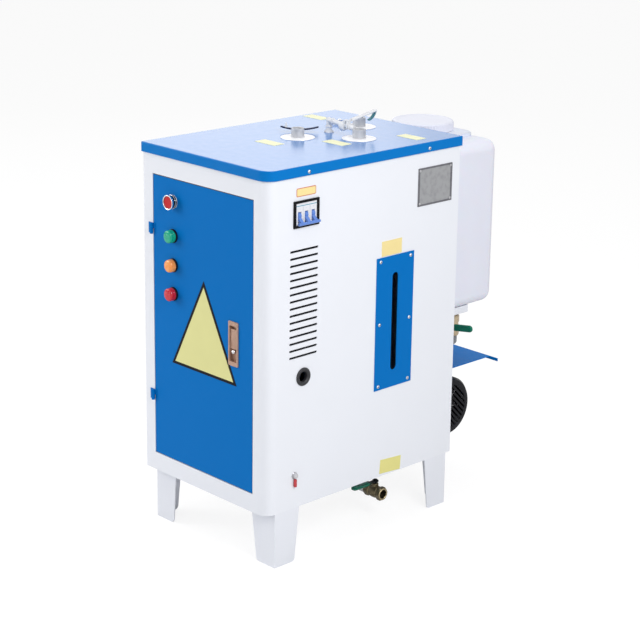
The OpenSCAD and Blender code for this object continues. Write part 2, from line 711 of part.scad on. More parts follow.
// Breaker
breaker_frame_t = 3;
breaker_step = 1.5;
breaker_depth = 60;
breaker_nose = 6;
breaker_tall = 78;
pole_pitch = 17.8;
drum_wheel_r = 7;
drum_wheel_w = 8;
bar_r = 3;
toggle_y = -3.4;
toggle_z = -4;
toggle_tilt = 45;
bar_arm = (bar_reach - bar_r - toggle_z) / cos(toggle_tilt);
module breaker_frame() color([0.05, 0.05, 0.06]) place() on_side(breaker_y, breaker_z)
  linear_extrude(breaker_frame_t) difference() {
    round_bar(breaker_w, breaker_h, breaker_frame_t / 2);
    square([breaker_face_w, breaker_face_h], center = true);
  }
module breaker_body() color([0.93, 0.95, 0.95]) place() on_side(breaker_y, breaker_z) difference() {
  union() {
    translate([0, 0, -breaker_nose]) linear_extrude(breaker_nose + breaker_step)
      square([breaker_face_w - 2 * fit_gap, breaker_face_h - 2 * fit_gap], center = true);
    translate([0, 0, -breaker_depth]) linear_extrude(breaker_depth - breaker_nose)
      square([breaker_face_w, breaker_tall], center = true);
  }
  for (i = [-1:1]) translate([i * pole_pitch - drum_wheel_w / 2 - fit_gap, toggle_y, toggle_z]) {
    rod_x(drum_wheel_r + fit_gap, drum_wheel_w + 2 * fit_gap);
    translate([0, -2 * drum_wheel_r, 0])
        cube([drum_wheel_w + 2 * fit_gap, 4 * drum_wheel_r, breaker_nose + breaker_step]);
  }
}
module breaker_toggle() color([0.35, 0.5, 0.8]) place() on_side(breaker_y, breaker_z)
    translate([0, toggle_y, toggle_z]) {
  for (i = [-1:1]) translate([i * pole_pitch - drum_wheel_w / 2, 0, 0]) {
    rod_x(drum_wheel_r, drum_wheel_w);
    rotate([toggle_tilt, 0, 0]) translate([fit_gap, -bar_r * 3 / 4, 0])
      cube([drum_wheel_w - 2 * fit_gap, bar_r * 3 / 2, bar_arm]);
  }
  rotate([toggle_tilt, 0, 0]) translate([-breaker_face_w / 2, 0, bar_arm]) rod_x(bar_r, breaker_face_w);
}

// Cable grommet and earth screw
grommet_lip = 3.5;
module cable_grommet() color([0.13, 0.14, 0.17]) place() on_side(grommet_y, grommet_z) rotate_extrude()
    polygon([
  [grommet_bore_r, -sheet_t - grommet_lip], [grommet_r - sheet_t, -sheet_t - grommet_lip],
  [grommet_r - sheet_t, -sheet_t], [grommet_hole_r - fit_gap, -sheet_t], [grommet_hole_r - fit_gap, 0],
  [grommet_r, 0], [grommet_r, grommet_lip / 3], [grommet_r - grommet_lip / 2, grommet_lip],
  [grommet_bore_r + grommet_lip, grommet_lip], [grommet_bore_r, 0]]);
lug_t = 1.2;
lug_r = 7;
sleeve_r = 3.4;
sleeve_len = 15;
washer_t = 1.6;
head_across = 13;
bolt_head_h = 5.3;
module earth_screw() color([0.75, 0.76, 0.78]) place() on_side(earth_y, earth_z) {
  translate([0, 0, -4 * stud_r]) cylinder(r = stud_r, h = 4 * stud_r + lug_t);
  translate([0, 0, lug_t]) cylinder(r = 2 * stud_r, h = washer_t);
  translate([0, 0, lug_t + washer_t]) hex(head_across, bolt_head_h);
  translate([0, 0, -sheet_t - bolt_head_h]) hex(head_across, bolt_head_h);
}
module earth_terminal() color([0.78, 0.16, 0.23]) place() on_side(earth_y, earth_z) {
  ring(lug_r, stud_r + fit_gap, lug_t);
  translate([-sleeve_r / 2, -lug_r - sleeve_r, 0]) cube([sleeve_r, 1.5 * sleeve_r, lug_t]);
  translate([0, -lug_r - sleeve_r / 2, sleeve_r + run_gap]) rotate([90, 0, 0])
      cylinder(r = sleeve_r, h = sleeve_len);
}

// Gauge glass between two cocks on the drum
glass_inset = 25;
glass_wall = 1.2;
cock_r = 9;
cock_h = 24;
cock_pipe_r = 6;
cock_grip = 10;
glass_x = half_w - glass_inset;
glass_low = sight_z - slot_h / 2 - cock_h;
glass_high = sight_z + slot_h / 2 + cock_h;
module sight_glass() color([0.8, 0.9, 0.92, 0.5]) place() translate([glass_x, drum_y, glass_low])
  ring(glass_r, glass_r - glass_wall, glass_high - glass_low);
module sight_cock() {
  difference() {
    translate([0, 0, cock_grip - cock_h]) cylinder(r = cock_r, h = cock_h);
    cylinder(r = glass_r + run_gap, h = cock_h);
  }
  translate([0, 0, cock_grip - cock_h / 2]) hex(2 * cock_r + sheet_t, cock_h / 2 - over);
}
module sight_cocks() color([0.75, 0.62, 0.3]) place() for (up = [0, 1])
  translate([glass_x, drum_y, up ? glass_high : glass_low]) mirror([0, 0, up]) difference() {
    union() {
      sight_cock();
      translate([drum_r - drum_x - glass_x, 0, -cock_pipe_r]) rod_x(cock_pipe_r, glass_x + drum_x - drum_r);
    }
    cylinder(r = glass_r + run_gap, h = cock_h);
  }

// Steam outlets on the lid
socket_z = lid_top + socket_over - socket_len;
pipe_top = socket_z + socket_len / 3;
pipe_bore_r = 8;
nozzle_r = 9;
nozzle_len = 45;
nozzle_top = drum_low_z + drum_h + nozzle_len;
module at_outlets() for (i = [0:2]) translate(outlet_at(i)) children();
module outlet_escutcheons() color([0.95, 0.95, 0.95]) place() at_outlets() translate([0, 0, lid_top])
  ring(escutcheon_r, socket_r + fit_gap, escutcheon_t);
module outlet_sockets() color([0.72, 0.73, 0.75]) place() at_outlets() translate([0, 0, socket_z])
    difference() {
  cylinder(r = socket_r, h = socket_len);
  translate([0, 0, -over]) cylinder(r = pipe_r + run_gap, h = pipe_top - socket_z + over);
  cylinder(r = socket_bore_r, h = socket_len + over);
}
// Vent cocks under the lid, each with a butterfly handle over it
cock_body_r = 11;
cock_body_h = 24;
spindle_r = 3;
handle_w = 10;
handle_t = 2.4;
handle_sag = 6;
handle_lift = 4;
handle_tab_h = 12;
handle_hub_r = 6.5;
front_handle_half = 40;
front_handle_turn = 46;
rear_handle_half = 29;
rear_handle_turn = 30;
cock_body_z = lid_top - 3 * cock_body_h;
module vent_cocks() color([0.78, 0.68, 0.4]) place() for (p = [front_cock, rear_cock])
  translate(concat(p, nozzle_top)) difference() {
    union() {
      cylinder(r = pipe_bore_r, h = lid_top - nozzle_top - cock_body_h);
      translate([0, 0, cock_body_z - nozzle_top]) cylinder(r = cock_body_r, h = cock_body_h);
      translate([0, 0, cock_body_z - nozzle_top])
          cylinder(r = cock_neck_r, h = lid_top - cock_body_z + escutcheon_t);
    }
    translate([0, 0, lid_top - nozzle_top - cock_body_h])
        cylinder(r = spindle_r + run_gap, h = 2 * cock_body_h);
  }
// Butterfly handle with its spindle, its wings sagging to the middle
module butterfly(half) {
  bend = (half * half + handle_sag * handle_sag) / (2 * handle_sag);
  translate([0, 0, -cock_body_h + over]) cylinder(r = spindle_r, h = cock_body_h + 2 * handle_lift + over);
  translate([0, 0, handle_lift - over]) cylinder(r = handle_hub_r, h = handle_t + over);
  translate([0, handle_w / 2, handle_lift + bend]) rotate([90, 0, 0]) linear_extrude(handle_w)
      intersection() {
    difference() {
      circle(bend, $fn = 256);
      circle(bend - handle_t, $fn = 256);
    }
    translate([-half, -bend - over]) square([2 * half, bend]);
  }
  translate([0, 0, handle_lift + handle_t - run_gap]) hex(3 * spindle_r, handle_t);
}
module front_wing_handle() color([0.05, 0.1, 0.3]) place()
  translate(concat(front_cock, lid_top)) rotate(front_handle_turn) {
    butterfly(front_handle_half);
    translate([handle_w - front_handle_half, -handle_t / 2, handle_lift + handle_sag / 2 + over])
      cube([handle_w / 2, handle_t, handle_tab_h]);
  }
module rear_wing_handle() color([0.05, 0.35, 0.7]) place()
  translate(concat(rear_cock, lid_top)) rotate(rear_handle_turn) difference() {
    butterfly(rear_handle_half);
    translate([handle_w / 2 - rear_handle_half, 0, 0]) cylinder(r = spindle_r, h = 2 * cock_body_h);
  }

// Relief valve between the drum's crown and the right-hand outlet
relief_foot_r = 10;
relief_top = 25;
relief_arm_r = 5;
relief_bulb_r = 10;
relief_bulb_x = 41;
relief_drop = 6;
relief_pivot_x = 52;
relief_pivot_r = 2.5;
relief_pivot_up = 4;
relief_ear_t = 3;
relief_reach = outlet_circle_r - socket_r;
arm_tilt = atan(relief_drop / relief_reach);
module relief_valve() color([0.9, 0.91, 0.92]) place() translate([-drum_x, drum_y, lid_top]) {
  translate([0, 0, nozzle_top - lid_top])
      cylinder(r = relief_neck_r, h = lid_top - nozzle_top + escutcheon_t);
  rotate_extrude() polygon([[0, 0], [relief_foot_r, 0], [relief_foot_r, escutcheon_t / 2],
    [relief_neck_r, relief_drop], [relief_arm_r, relief_top / 2], [relief_arm_r, relief_top],
        [0, relief_top]]);
  translate([0, 0, relief_top]) sphere(r = relief_arm_r + over);
  translate([0, 0, relief_top]) rotate([0, arm_tilt, 0])
    rod_x(relief_arm_r, (relief_reach - fit_gap) / cos(arm_tilt) - relief_arm_r * tan(arm_tilt));
  translate([relief_bulb_x, 0, relief_top - relief_drop]) sphere(r = relief_bulb_r);
  difference() {
    box([relief_pivot_x - relief_arm_r, -relief_arm_r, relief_top - relief_drop],
        [relief_pivot_x + relief_arm_r, relief_arm_r,
            relief_top + relief_pivot_up + relief_pivot_r + sheet_t]);
    box([relief_pivot_x - relief_arm_r + relief_ear_t, -relief_arm_r - over,
        relief_top + relief_pivot_up - relief_pivot_r - sheet_t],
        [relief_pivot_x + relief_arm_r - relief_ear_t, relief_arm_r + over, lid_top]);
    translate([relief_pivot_x - relief_arm_r - over, 0, relief_top + relief_pivot_up])
      rod_x(relief_pivot_r / 2 + run_gap, 2 * relief_arm_r + 2 * over);
  }
}
relief_lever_len = 86;
relief_lever_w = 12;
relief_lever_t = 3.5;
relief_lever_rise = 10;
grip_r = 26;
grip_t = 3;
grip_up = 10;
grip_turn = 68;
module relief_lever() color([0.95, 0.95, 0.96]) place()
  translate([relief_pivot_x - drum_x, drum_y, lid_top + relief_top + relief_pivot_up]) {
    translate([-relief_arm_r, 0, 0]) rod_x(relief_pivot_r / 2, 2 * relief_arm_r);
    rotate([relief_lever_rise, 0, 0]) {
      box([relief_ear_t + fit_gap - relief_arm_r, -relief_arm_r / 2, -relief_lever_t / 2],
          [relief_arm_r - relief_ear_t - fit_gap, 3 * relief_arm_r, relief_lever_t / 2]);
      box([-relief_lever_w / 2, 2 * relief_arm_r, -relief_lever_t / 2],
          [relief_lever_w / 2, relief_lever_len - relief_lever_w / 2, relief_lever_t / 2]);
      translate([0, relief_lever_len - relief_lever_w / 2, -relief_lever_t / 2])
        cylinder(r = relief_lever_w / 2, h = relief_lever_t);
      // Hooked grip under the tip
      translate([-relief_lever_w / 3, relief_lever_len - grip_r, grip_up]) rotate([0, 90, 0])
        rotate_extrude(angle = grip_turn) translate([grip_r - grip_t, 0])
            square([grip_t, 2 * relief_lever_w / 3]);
    }
  }

// Boiler drum with its nozzles and feet
drum_top_z = drum_low_z + drum_h;
neck_len = 14;
heater_neck_r = 36;
heater_bore_r = 30;
heater_z = 165;
foot_r = 8;
foot_circle_share = 0.76;
foot_top = drum_low_z - (dome_h - drum_wall / 2) * sqrt(1 - foot_circle_share * foot_circle_share);
drain_top = 41;
feed_x = -90;
feed_nozzle_r = 10;
feed_nozzle_in = 12;
feed_nozzle_y = drum_y + drum_r - feed_nozzle_in;
// A closed round vessel with two domed ends
module drum_form(r, h) {
  rotate_extrude() polygon(concat([[0, drum_low_z]], dome(r, h, drum_low_z, -1)));
  rotate_extrude() polygon(concat([[0, drum_top_z]], dome(r, h, drum_top_z, 1)));
  translate([0, 0, drum_low_z]) cylinder(r = r, h = drum_h);
}
module boiler_drum() color([0.6, 0.6, 0.62]) place() translate([-drum_x, drum_y, 0]) difference() {
  union() {
    drum_form(drum_r, dome_h);
    for (i = [0:2]) translate(concat(outlet_at(i) + [drum_x, -drum_y], drum_top_z))
      cylinder(r = pipe_r, h = pipe_top - drum_top_z);
    for (p = [front_cock_at, rear_cock_at, [0, 0]]) translate(concat(p, drum_top_z))
      cylinder(r = nozzle_r, h = nozzle_len);
    for (i = [0:3]) rotate(90 * i + 45) translate([foot_circle_share * drum_r, 0, base_t])
      cylinder(r = foot_r, h = foot_top - base_t);
    translate([0, 0, drain_top]) cylinder(r = pipe_r, h = drum_low_z - drain_top);
    translate([0, -drum_r - neck_len, heater_z]) rod_y(heater_neck_r, 2 * neck_len);
    translate([feed_x + drum_x, drum_r / 2, feed_z])
        rod_y(feed_nozzle_r, feed_nozzle_y - drum_y - drum_r / 2);
  }
  drum_form(drum_r - drum_wall, dome_h - drum_wall);
  for (i = [0:2]) translate(concat(outlet_at(i) + [drum_x, -drum_y], drum_top_z - over))
    cylinder(r = pipe_bore_r, h = pipe_top - drum_top_z + 2 * over);
  translate([0, -drum_r - neck_len - over, heater_z]) rod_y(heater_bore_r, 2 * neck_len + 2 * over);
  translate([0, 0, drain_top - over]) cylinder(r = pipe_bore_r, h = drum_low_z - drain_top + 2 * over);
  translate([feed_x + drum_x, drum_r / 2 - over, feed_z])
      rod_y(feed_r, feed_nozzle_y - drum_y - drum_r / 2 + 2 * over);
}
module drum_jacket() color([0.75, 0.75, 0.74]) place() translate([-drum_x, drum_y, 0]) difference() {
  translate([0, 0, drum_low_z]) ring(drum_r + jacket_t, drum_r + fit_gap, drum_h);
  translate([0, -drum_r - 2 * jacket_t, heater_z]) rod_y(heater_neck_r + fit_gap, 3 * jacket_t);
  for (z = [glass_low - cock_pipe_r, glass_high + cock_pipe_r]) translate([drum_r - over, 0, z])
    rod_x(cock_pipe_r + 2 * over, 2 * jacket_t);
  translate([feed_x + drum_x, drum_r / 2, feed_z]) rod_y(feed_nozzle_r + over + fit_gap, drum_r);
  translate([0, -drum_r - 2 * jacket_t, switch_z]) rod_y(sense_r + fit_gap, 3 * jacket_t);
}
// Heating element unit on the drum's front neck
element_r = 4;
element_bend = 9;
element_len = 210;
flange_t = 12;
flange_over = 10;
flange_y = drum_y - drum_r - neck_len;
module heater_unit() color([0.7, 0.7, 0.68]) place() translate([-drum_x, flange_y, heater_z]) {
  translate([0, -flange_t, 0]) rod_y(heater_neck_r + flange_over, flange_t);
  for (a = [0:120:240]) rotate([0, a, 0]) translate([0, 0, heater_bore_r / 2]) {
    for (i = [-1, 1]) translate([i * element_bend, -2 * flange_t, 0])
        rod_y(element_r, element_len + 2 * flange_t);
    translate([0, element_len, 0]) rotate_extrude(angle = 180) translate([element_bend, 0])
        circle(element_r);
  }
}

// Electrical equipment on the partition
module partition_plate() color([0.8, 0.81, 0.82]) place() difference() {
  box([sheet_t - half_w, partition_y, base_t], [half_w - sheet_t, partition_y + sheet_t, cabinet_h]);
  translate([-drum_x, partition_y - over, heater_z]) rod_y(heater_neck_r + flange_over, sheet_t + 2 * over);
  translate([-drum_x, partition_y - over, switch_z]) rod_y(sense_r + fit_gap, sheet_t + 2 * over);
}
contactor_at = [-105, 420];
contactor_size = [45, 74];
contactor_share = 0.512;
contactor_d = contactor_share * partition_y;
module contactor() color([0.86, 0.85, 0.8]) place()
    translate([contactor_at[0], partition_y, contactor_at[1]])
  rotate([90, 0, 0]) {
    linear_extrude(contactor_d / 2) square([contactor_size[0], contactor_size[1]], center = true);
    linear_extrude(contactor_d * 3 / 4)
        square([contactor_size[0], contactor_size[1] * 2 / 3], center = true);
    linear_extrude(contactor_d) square([contactor_size[0] / 2, contactor_size[1] / 4], center = true);
  }
terminal_z = 300;
terminal_pitch = 16;
terminal_n = 7;
terminal_size = [14, 40, 34];
module terminal_block() color([0.2, 0.2, 0.22]) place() translate([0, partition_y, terminal_z])
    rotate([90, 0, 0]) {
  linear_extrude(terminal_size[2] / 4)
    square([terminal_pitch * terminal_n, terminal_size[1] * 5 / 4], center = true);
  for (i = [0:terminal_n - 1]) translate([(i - (terminal_n - 1) / 2) * terminal_pitch, 0, 0])
    linear_extrude(terminal_size[2]) square([terminal_size[0], terminal_size[1]], center = true);
}
switch_z = 520;
switch_size = [56, 96, 46];
sense_r = 3;
module pressure_switch() color([0.55, 0.6, 0.65]) place() translate([-drum_x, partition_y, switch_z])
    rotate([90, 0, 0]) {
  linear_extrude(switch_size[2]) round_bar(switch_size[0], switch_size[1], sense_r);
  translate([0, switch_size[1] / 5, 0]) cylinder(r = switch_size[0] / 5, h = switch_size[2] + sense_r);
  translate([0, 0, partition_y + drum_r - drum_y]) cylinder(r = sense_r, h = drum_y - drum_r - partition_y);
}

// Drain pipe, valve and lever
coupling_r = 14;
valve_x1 = half_w - drain_inset;
valve_x0 = valve_x1 - drain_len;
socket_in = 12;
seat_r = 6;
module drain_pipe() color([0.6, 0.6, 0.6]) place() translate([-drum_x, drum_y, 0]) difference() {
  union() {
    translate([0, 0, drain_top - socket_in]) cylinder(r = coupling_r, h = 2 * socket_in - over);
    translate([0, 0, -drain_drop]) cylinder(r = pipe_r, h = drain_drop + drain_top);
    translate([0, 0, -drain_drop]) sphere(r = coupling_r);
    translate([0, 0, -drain_drop]) rod_x(pipe_r, valve_x0 + drum_x + socket_in);
    translate([0, 0, -drain_drop]) rod_x(coupling_r, coupling_r + socket_in);
  }
  translate([0, 0, -drain_drop]) cylinder(r = pipe_bore_r, h = drain_drop + drain_top + 2 * socket_in);
  translate([0, 0, -drain_drop]) rod_x(pipe_bore_r, valve_x0 + drum_x + socket_in + over);
  translate([0, 0, drain_top]) cylinder(r = pipe_r + run_gap, h = 2 * socket_in);
}
lever_up = 22;
module drain_valve() color([0.43, 0.37, 0.24]) place() translate([valve_x0, drum_y, -drain_drop])
    difference() {
  union() {
    rod_x(drain_end_r - sheet_t, drain_len);
    rotate([0, 90, 0]) hex(2 * drain_end_r - sheet_t, socket_in);
    translate([drain_len / 2, 0, 0]) sphere(r = drain_end_r + run_gap);
    translate([drain_len - socket_in, 0, 0]) rotate([0, 90, 0]) hex(2 * drain_end_r, socket_in);
    translate([drain_len / 2, 0, 0]) cylinder(r = cock_neck_r, h = lever_up - handle_t - over);
  }
  translate([-over, 0, 0]) rod_x(pipe_r + run_gap, socket_in + over);
  rod_x(seat_r, drain_len);
  translate([drain_len - socket_in - sheet_t, 0, 0]) rod_x(drain_bore_r, socket_in + sheet_t + over);
  translate([drain_len / 2, 0, seat_r + sheet_t]) cylinder(r = spindle_r + run_gap, h = lever_up);
}
sleeve_w = 15;
sleeve_t = 7;
plate_len = 22;
// A valve lever along +X from its spindle, its plate's underside at the origin
module valve_lever(len) {
  translate([0, 0, -lever_up + seat_r + 2 * sheet_t]) cylinder(r = spindle_r, h = lever_up);
  cylinder(r = cock_neck_r, h = handle_t);
  box([0, -spindle_r - sheet_t, 0], [plate_len, spindle_r + sheet_t, handle_t]);
  box([plate_len - sleeve_t / 2, -sleeve_w / 2, (handle_t - sleeve_t) / 2],
      [len - sleeve_w / 2, sleeve_w / 2, (handle_t + sleeve_t) / 2]);
  translate([len - sleeve_w / 2, 0, (handle_t - sleeve_t) / 2]) cylinder(r = sleeve_w / 2, h = sleeve_t);
  translate([0, 0, handle_t]) hex(3 * spindle_r, handle_t);
}
module drain_lever() color([0.05, 0.4, 0.3]) place()
  translate([valve_x0 + drain_len / 2, drum_y, lever_up - drain_drop]) rotate(-90)
      valve_lever(drain_lever_len);

// Water tank
tank_y0 = cabinet_d + tank_gap;
tank_top = tank_z + tank_h;
step_w = 190;
step_d = 130;
step_h = 8;
neck_wall = 4;
cap_wall = 2.5;
cap_top_t = 3;
rib_r = 1;
outlet_r = 8;
tap_y0 = cabinet_d + tap_y;
tank_mid = [0, tank_y0 + tank_d / 2];
cap_z0 = tank_top + step_h + fit_gap;
neck_top = cap_z0 + cap_h - cap_top_t - fit_gap;
// A box with its edges and corners round, its middle over the origin
module ball_box(w, d, h, r) {
  translate([0, 0, r]) linear_extrude(h - 2 * r) round_bar(w, d, r);
  translate([r - w / 2, 0, h / 2]) rotate([90, 0, 90]) linear_extrude(w - 2 * r) round_bar(d, h, r);
  translate([0, d / 2 - r, h / 2]) rotate([90, 0, 0]) linear_extrude(d - 2 * r) round_bar(w, h, r);
  for (i = [-1, 1], j = [-1, 1], k = [0, 1])
    translate([i * (w / 2 - r), j * (d / 2 - r), k ? h - r : r]) sphere(r = r);
}
module water_tank() color([0.95, 0.96, 0.98]) place() difference() {
  union() {
    translate(concat(tank_mid, tank_z)) ball_box(tank_w, tank_d, tank_h, tank_edge_r);
    translate(concat(tank_mid, tank_top - tank_wall * 3 / 4)) linear_extrude(step_h + tank_wall * 3 / 4)
      round_bar(step_w, step_d, tank_edge_r);
    translate(concat(tank_mid, tank_top)) cylinder(r = neck_r, h = neck_top - tank_top);
  }
  translate(concat(tank_mid, tank_z + tank_wall))
    ball_box(tank_w - 2 * tank_wall, tank_d - 2 * tank_wall, tank_h - 2 * tank_wall,
        tank_edge_r - tank_wall);
  translate(concat(tank_mid, tank_top - tank_edge_r)) cylinder(r = neck_r - neck_wall, h = tank_h);
  translate([tap_x, tap_y0, tank_z - over]) cylinder(r = outlet_r, h = tank_wall + 2 * over);
}
module tank_cap() color([0.96, 0.96, 0.97]) place() translate(concat(tank_mid, cap_z0)) {
  difference() {
    rotate_extrude() polygon([[0, 0], [cap_r, 0], [cap_r, cap_h - cap_wall],
      [cap_r - cap_wall, cap_h], [0, cap_h]]);
    translate([0, 0, -over]) cylinder(r = cap_r - cap_wall, h = cap_h - cap_top_t + over);
  }
  for (i = [0:cap_ribs - 1]) rotate(i * 360 / cap_ribs) translate([cap_r, 0, 0])
    cylinder(r = rib_r, h = cap_h - 2 * cap_wall, $fn = 8);
}

// Shelf under the tank
gusset_x = 95;
gusset_d = 70;
gusset_h = 44;
collar_r = 13;
module tank_shelf() color([0.92, 0.93, 0.97]) place() difference() {
  translate([0, cabinet_d, tank_z]) {
    difference() {
      box([-tray_w / 2, 0, -tray_lip], [tray_w / 2, tray_d, 0]);
      box([leg_t - tray_w / 2, -over, -tray_lip - over], [tray_w / 2 - leg_t, tray_d - leg_t, -leg_t]);
    }
    box([-tray_w / 2, 0, -tray_lip - gusset_h], [tray_w / 2, leg_t, 0]);
    for (i = [-1, 1]) translate([i * gusset_x - leg_t / 2, 0, 0]) rotate([90, 0, 90]) linear_extrude(leg_t)
      polygon([[0, -tray_lip - gusset_h], [gusset_d, -leg_t], [0, -leg_t]]);
  }
  translate([tap_x, tap_y0, tank_z - tray_lip]) cylinder(r = outlet_r + fit_gap, h = 2 * tray_lip);
}

// Tank valve, lever and feed hose
nut_h = 10;
valve_half = 22;
barb_r = 4.8;
lever_rise = 9;
hose_bend_r = 35;
elbow_r = 9;
inlet_x = -111;
inlet_top = 118;
hose_low = inlet_top - elbow_r / 2;
tap_z = tank_z - leg_t - nut_h - valve_half - collar_r;
hose_z = tap_z - valve_half - hose_r - collar_r / 2;
module tank_valve() color([0.72, 0.6, 0.32]) place() translate([tap_x, tap_y0, tap_z]) difference() {
  union() {
    cylinder(r = outlet_r - run_gap, h = tank_z + tank_wall - tap_z);
    translate([0, 0, tank_z - leg_t - nut_h - tap_z]) hex(2 * collar_r + leg_t, nut_h);
    translate([0, 0, collar_r / 2]) hex(2 * collar_r - leg_t, valve_half - collar_r / 2);
    sphere(r = collar_r - sheet_t);
    translate([0, 0, -valve_half]) hex(2 * collar_r - leg_t, collar_r);
    translate([0, leg_t - lever_up, 0]) rod_y(cock_neck_r, lever_up - leg_t);
    cylinder(r = outlet_r, h = tank_z - leg_t - tap_z);
  }
  translate([0, 0, -valve_half - over]) cylinder(r = outlet_r - sheet_t, h = tank_h);
  translate([0, -lever_up, 0]) rod_y(spindle_r + run_gap, lever_up - seat_r - sheet_t);
}
module tank_valve_lever() color([0.02, 0.38, 0.25]) place()
  translate([tap_x, tap_y0 - lever_up, tap_z]) rotate([90, -lever_rise, 0]) valve_lever(tap_lever_len);
module hose_piece(r) {
  translate([tap_x, tap_y0, hose_z]) mirror([1, 0, 0]) rod_x(r, tap_x - inlet_x - hose_bend_r);
  translate([inlet_x + hose_bend_r, tap_y0, hose_z - hose_bend_r]) rotate([90, 0, 0])
    rotate([0, 0, 90]) rotate_extrude(angle = 90) translate([hose_bend_r, 0]) circle(r);
}
module feed_hose() color([0.93, 0.94, 0.95]) place() difference() {
  union() {
    hose_piece(hose_r);
    translate([inlet_x, tap_y0, hose_low])
        cylinder(r = hose_r, h = hose_z - hose_bend_r - hose_low);
    translate([tap_x, tap_y0, hose_z]) cylinder(r = elbow_r, h = tap_z - valve_half - hose_z);
    translate([tap_x, tap_y0, hose_z]) sphere(r = elbow_r);
    translate([tap_x - 2 * elbow_r, tap_y0, hose_z]) rod_x(elbow_r, 2 * elbow_r);
  }
  hose_piece(hose_bore_r);
  translate([inlet_x, tap_y0, hose_low - over])
    cylinder(r = hose_bore_r, h = hose_z - hose_bend_r - hose_low + over);
  translate([tap_x, tap_y0, hose_z]) cylinder(r = hose_bore_r, h = tap_z - valve_half - hose_z + over);
}

// Feed pump, lying along X behind the cabinet
motor_y0 = cabinet_d + motor_y;
cowl_wall = 1.5;
cowl_lap = 8;
slot_n = 11;
slot_pitch = 9;
slot_gap = 4.5;
grille_r = 52;
fin_n = 28;
fin_r = 64;
motor_r = 59;
motor_x1 = motor_x - cowl_len + cowl_lap;
motor_x0 = motor_x1 - motor_len;
foot_d = 90;
foot_w = 80;
bracket_z = -14;
bracket_t = 4;
box_w = 64;
box_d = 52;
terminal_box_top = 147;
lead_r = 4;
module pump_motor() color([0.1, 0.1, 0.11]) place() translate([0, motor_y0, motor_z]) difference() {
  union() {
    translate([motor_x0, 0, 0]) rod_x(motor_r, motor_len);
    translate([motor_x1 - cowl_lap, 0, 0]) rod_x(cowl_r - cowl_wall, cowl_lap);
    translate([motor_x0 + cowl_lap, 0, 0]) for (i = [0:fin_n - 1]) rotate([i * 360 / fin_n, 0, 0])
      box([0, -handle_t / 2, motor_r - over], [motor_len - 3 * cowl_lap, handle_t / 2, fin_r]);
    box([(motor_x0 + motor_x1 - foot_w) / 2, -foot_d / 2, bracket_z - motor_z],
        [(motor_x0 + motor_x1 + foot_w) / 2, foot_d / 2, -motor_r / 2]);
    box([(motor_x0 + motor_x1 - box_w) / 2, -box_d / 2, motor_r / 2],
        [(motor_x0 + motor_x1 + box_w) / 2, box_d / 2, terminal_box_top - motor_z]);
    translate([cable_x, -motor_y, cable_z - motor_z])
      rod_y(lead_r, motor_y - box_d / 2);
  }
  translate([motor_x0 - over, 0, 0]) rod_x(shaft_r + run_gap, motor_len + 2 * over);
}
module fan_cowl() color([0.07, 0.07, 0.08]) place() translate([motor_x - cowl_len, motor_y0, motor_z])
  rotate([0, 90, 0]) difference() {
    rotate_extrude() polygon([[0, cowl_len - cowl_wall], [grille_r, cowl_len - cowl_wall],
        [cowl_r - 3 * cowl_wall, cowl_len - 3 * cowl_wall],
      [cowl_r - cowl_wall, cowl_len - 6 * cowl_wall], [cowl_r - cowl_wall, 0], [cowl_r, 0],
      [cowl_r, cowl_len - 5 * cowl_wall], [cowl_r - 3 * cowl_wall, cowl_len - cowl_wall],
          [grille_r, cowl_len], [0, cowl_len]]);
    translate([0, 0, cowl_len - 2 * cowl_wall]) linear_extrude(3 * cowl_wall) intersection() {
      circle(grille_r - cowl_wall);
      rotate(45) for (i = [0:slot_n - 1])
          translate([-grille_r, (i - (slot_n - 1) / 2) * slot_pitch - slot_gap / 2])
        square([2 * grille_r, slot_gap]);
    }
  }
fan_r = 56;
fan_blades = 7;
fan_w = 22;
impeller_r = 40;
impeller_t = 9;
adaptor_len = 14;
head_len = 48;
head_x1 = motor_x0 - adaptor_len;
pump_x0 = head_x1 - head_len;
module pump_rotor() color([0.55, 0.56, 0.58]) place() translate([0, motor_y0, motor_z]) {
  translate([pump_x0 + 2 * impeller_t, 0, 0])
      rod_x(shaft_r, motor_x1 + fan_w + cowl_lap + over - pump_x0 - 2 * impeller_t);
  translate([pump_x0 + 2 * impeller_t, 0, 0]) rod_x(impeller_r, impeller_t);
  translate([motor_x1 + cowl_lap, 0, 0]) {
    rod_x(fan_r / 3, fan_w);
    rod_x(fan_r - over, handle_t);
    for (i = [0:fan_blades - 1]) rotate([i * 360 / fan_blades, 0, 0])
      box([handle_t / 2, -handle_t / 2, fan_r / 5], [fan_w - over, handle_t / 2, fan_r]);
  }
}
head_r1 = 56;
pump_out_y = 52;
pump_out_top = 110;
port_r = 11;
module pump_head() color([0.16, 0.16, 0.18]) place() difference() {
  translate([0, motor_y0, motor_z]) {
    translate([pump_x0, 0, 0]) rod_x(head_r1, head_x1 - pump_x0);
    translate([head_x1 - over, 0, 0]) rod_x(motor_r * 3 / 4, motor_x0 - head_x1 + over);
    translate([inlet_x, tap_y - motor_y, 0]) cylinder(r = port_r, h = hose_low - motor_z);
    translate([inlet_x, tap_y - motor_y, 0]) cylinder(r = barb_r, h = inlet_top + elbow_r - motor_z);
    translate([feed_x, pump_out_y - motor_y, 0]) cylinder(r = port_r, h = pump_out_top - motor_z);
  }
  translate([0, motor_y0, motor_z]) {
    translate([pump_x0 + 2 * impeller_t - sheet_t, 0, 0])
        rod_x(impeller_r + sheet_t, impeller_t + 2 * sheet_t);
    translate([pump_x0 + impeller_t, 0, 0]) rod_x(shaft_r + run_gap, motor_x0 - pump_x0);
    translate([inlet_x, tap_y - motor_y, head_r1 / 2]) cylinder(r = barb_r - sheet_t, h = inlet_top);
    translate([feed_x, pump_out_y - motor_y, head_r1 / 2]) cylinder(r = feed_r - over, h = inlet_top);
  }
}
check_r = 12;
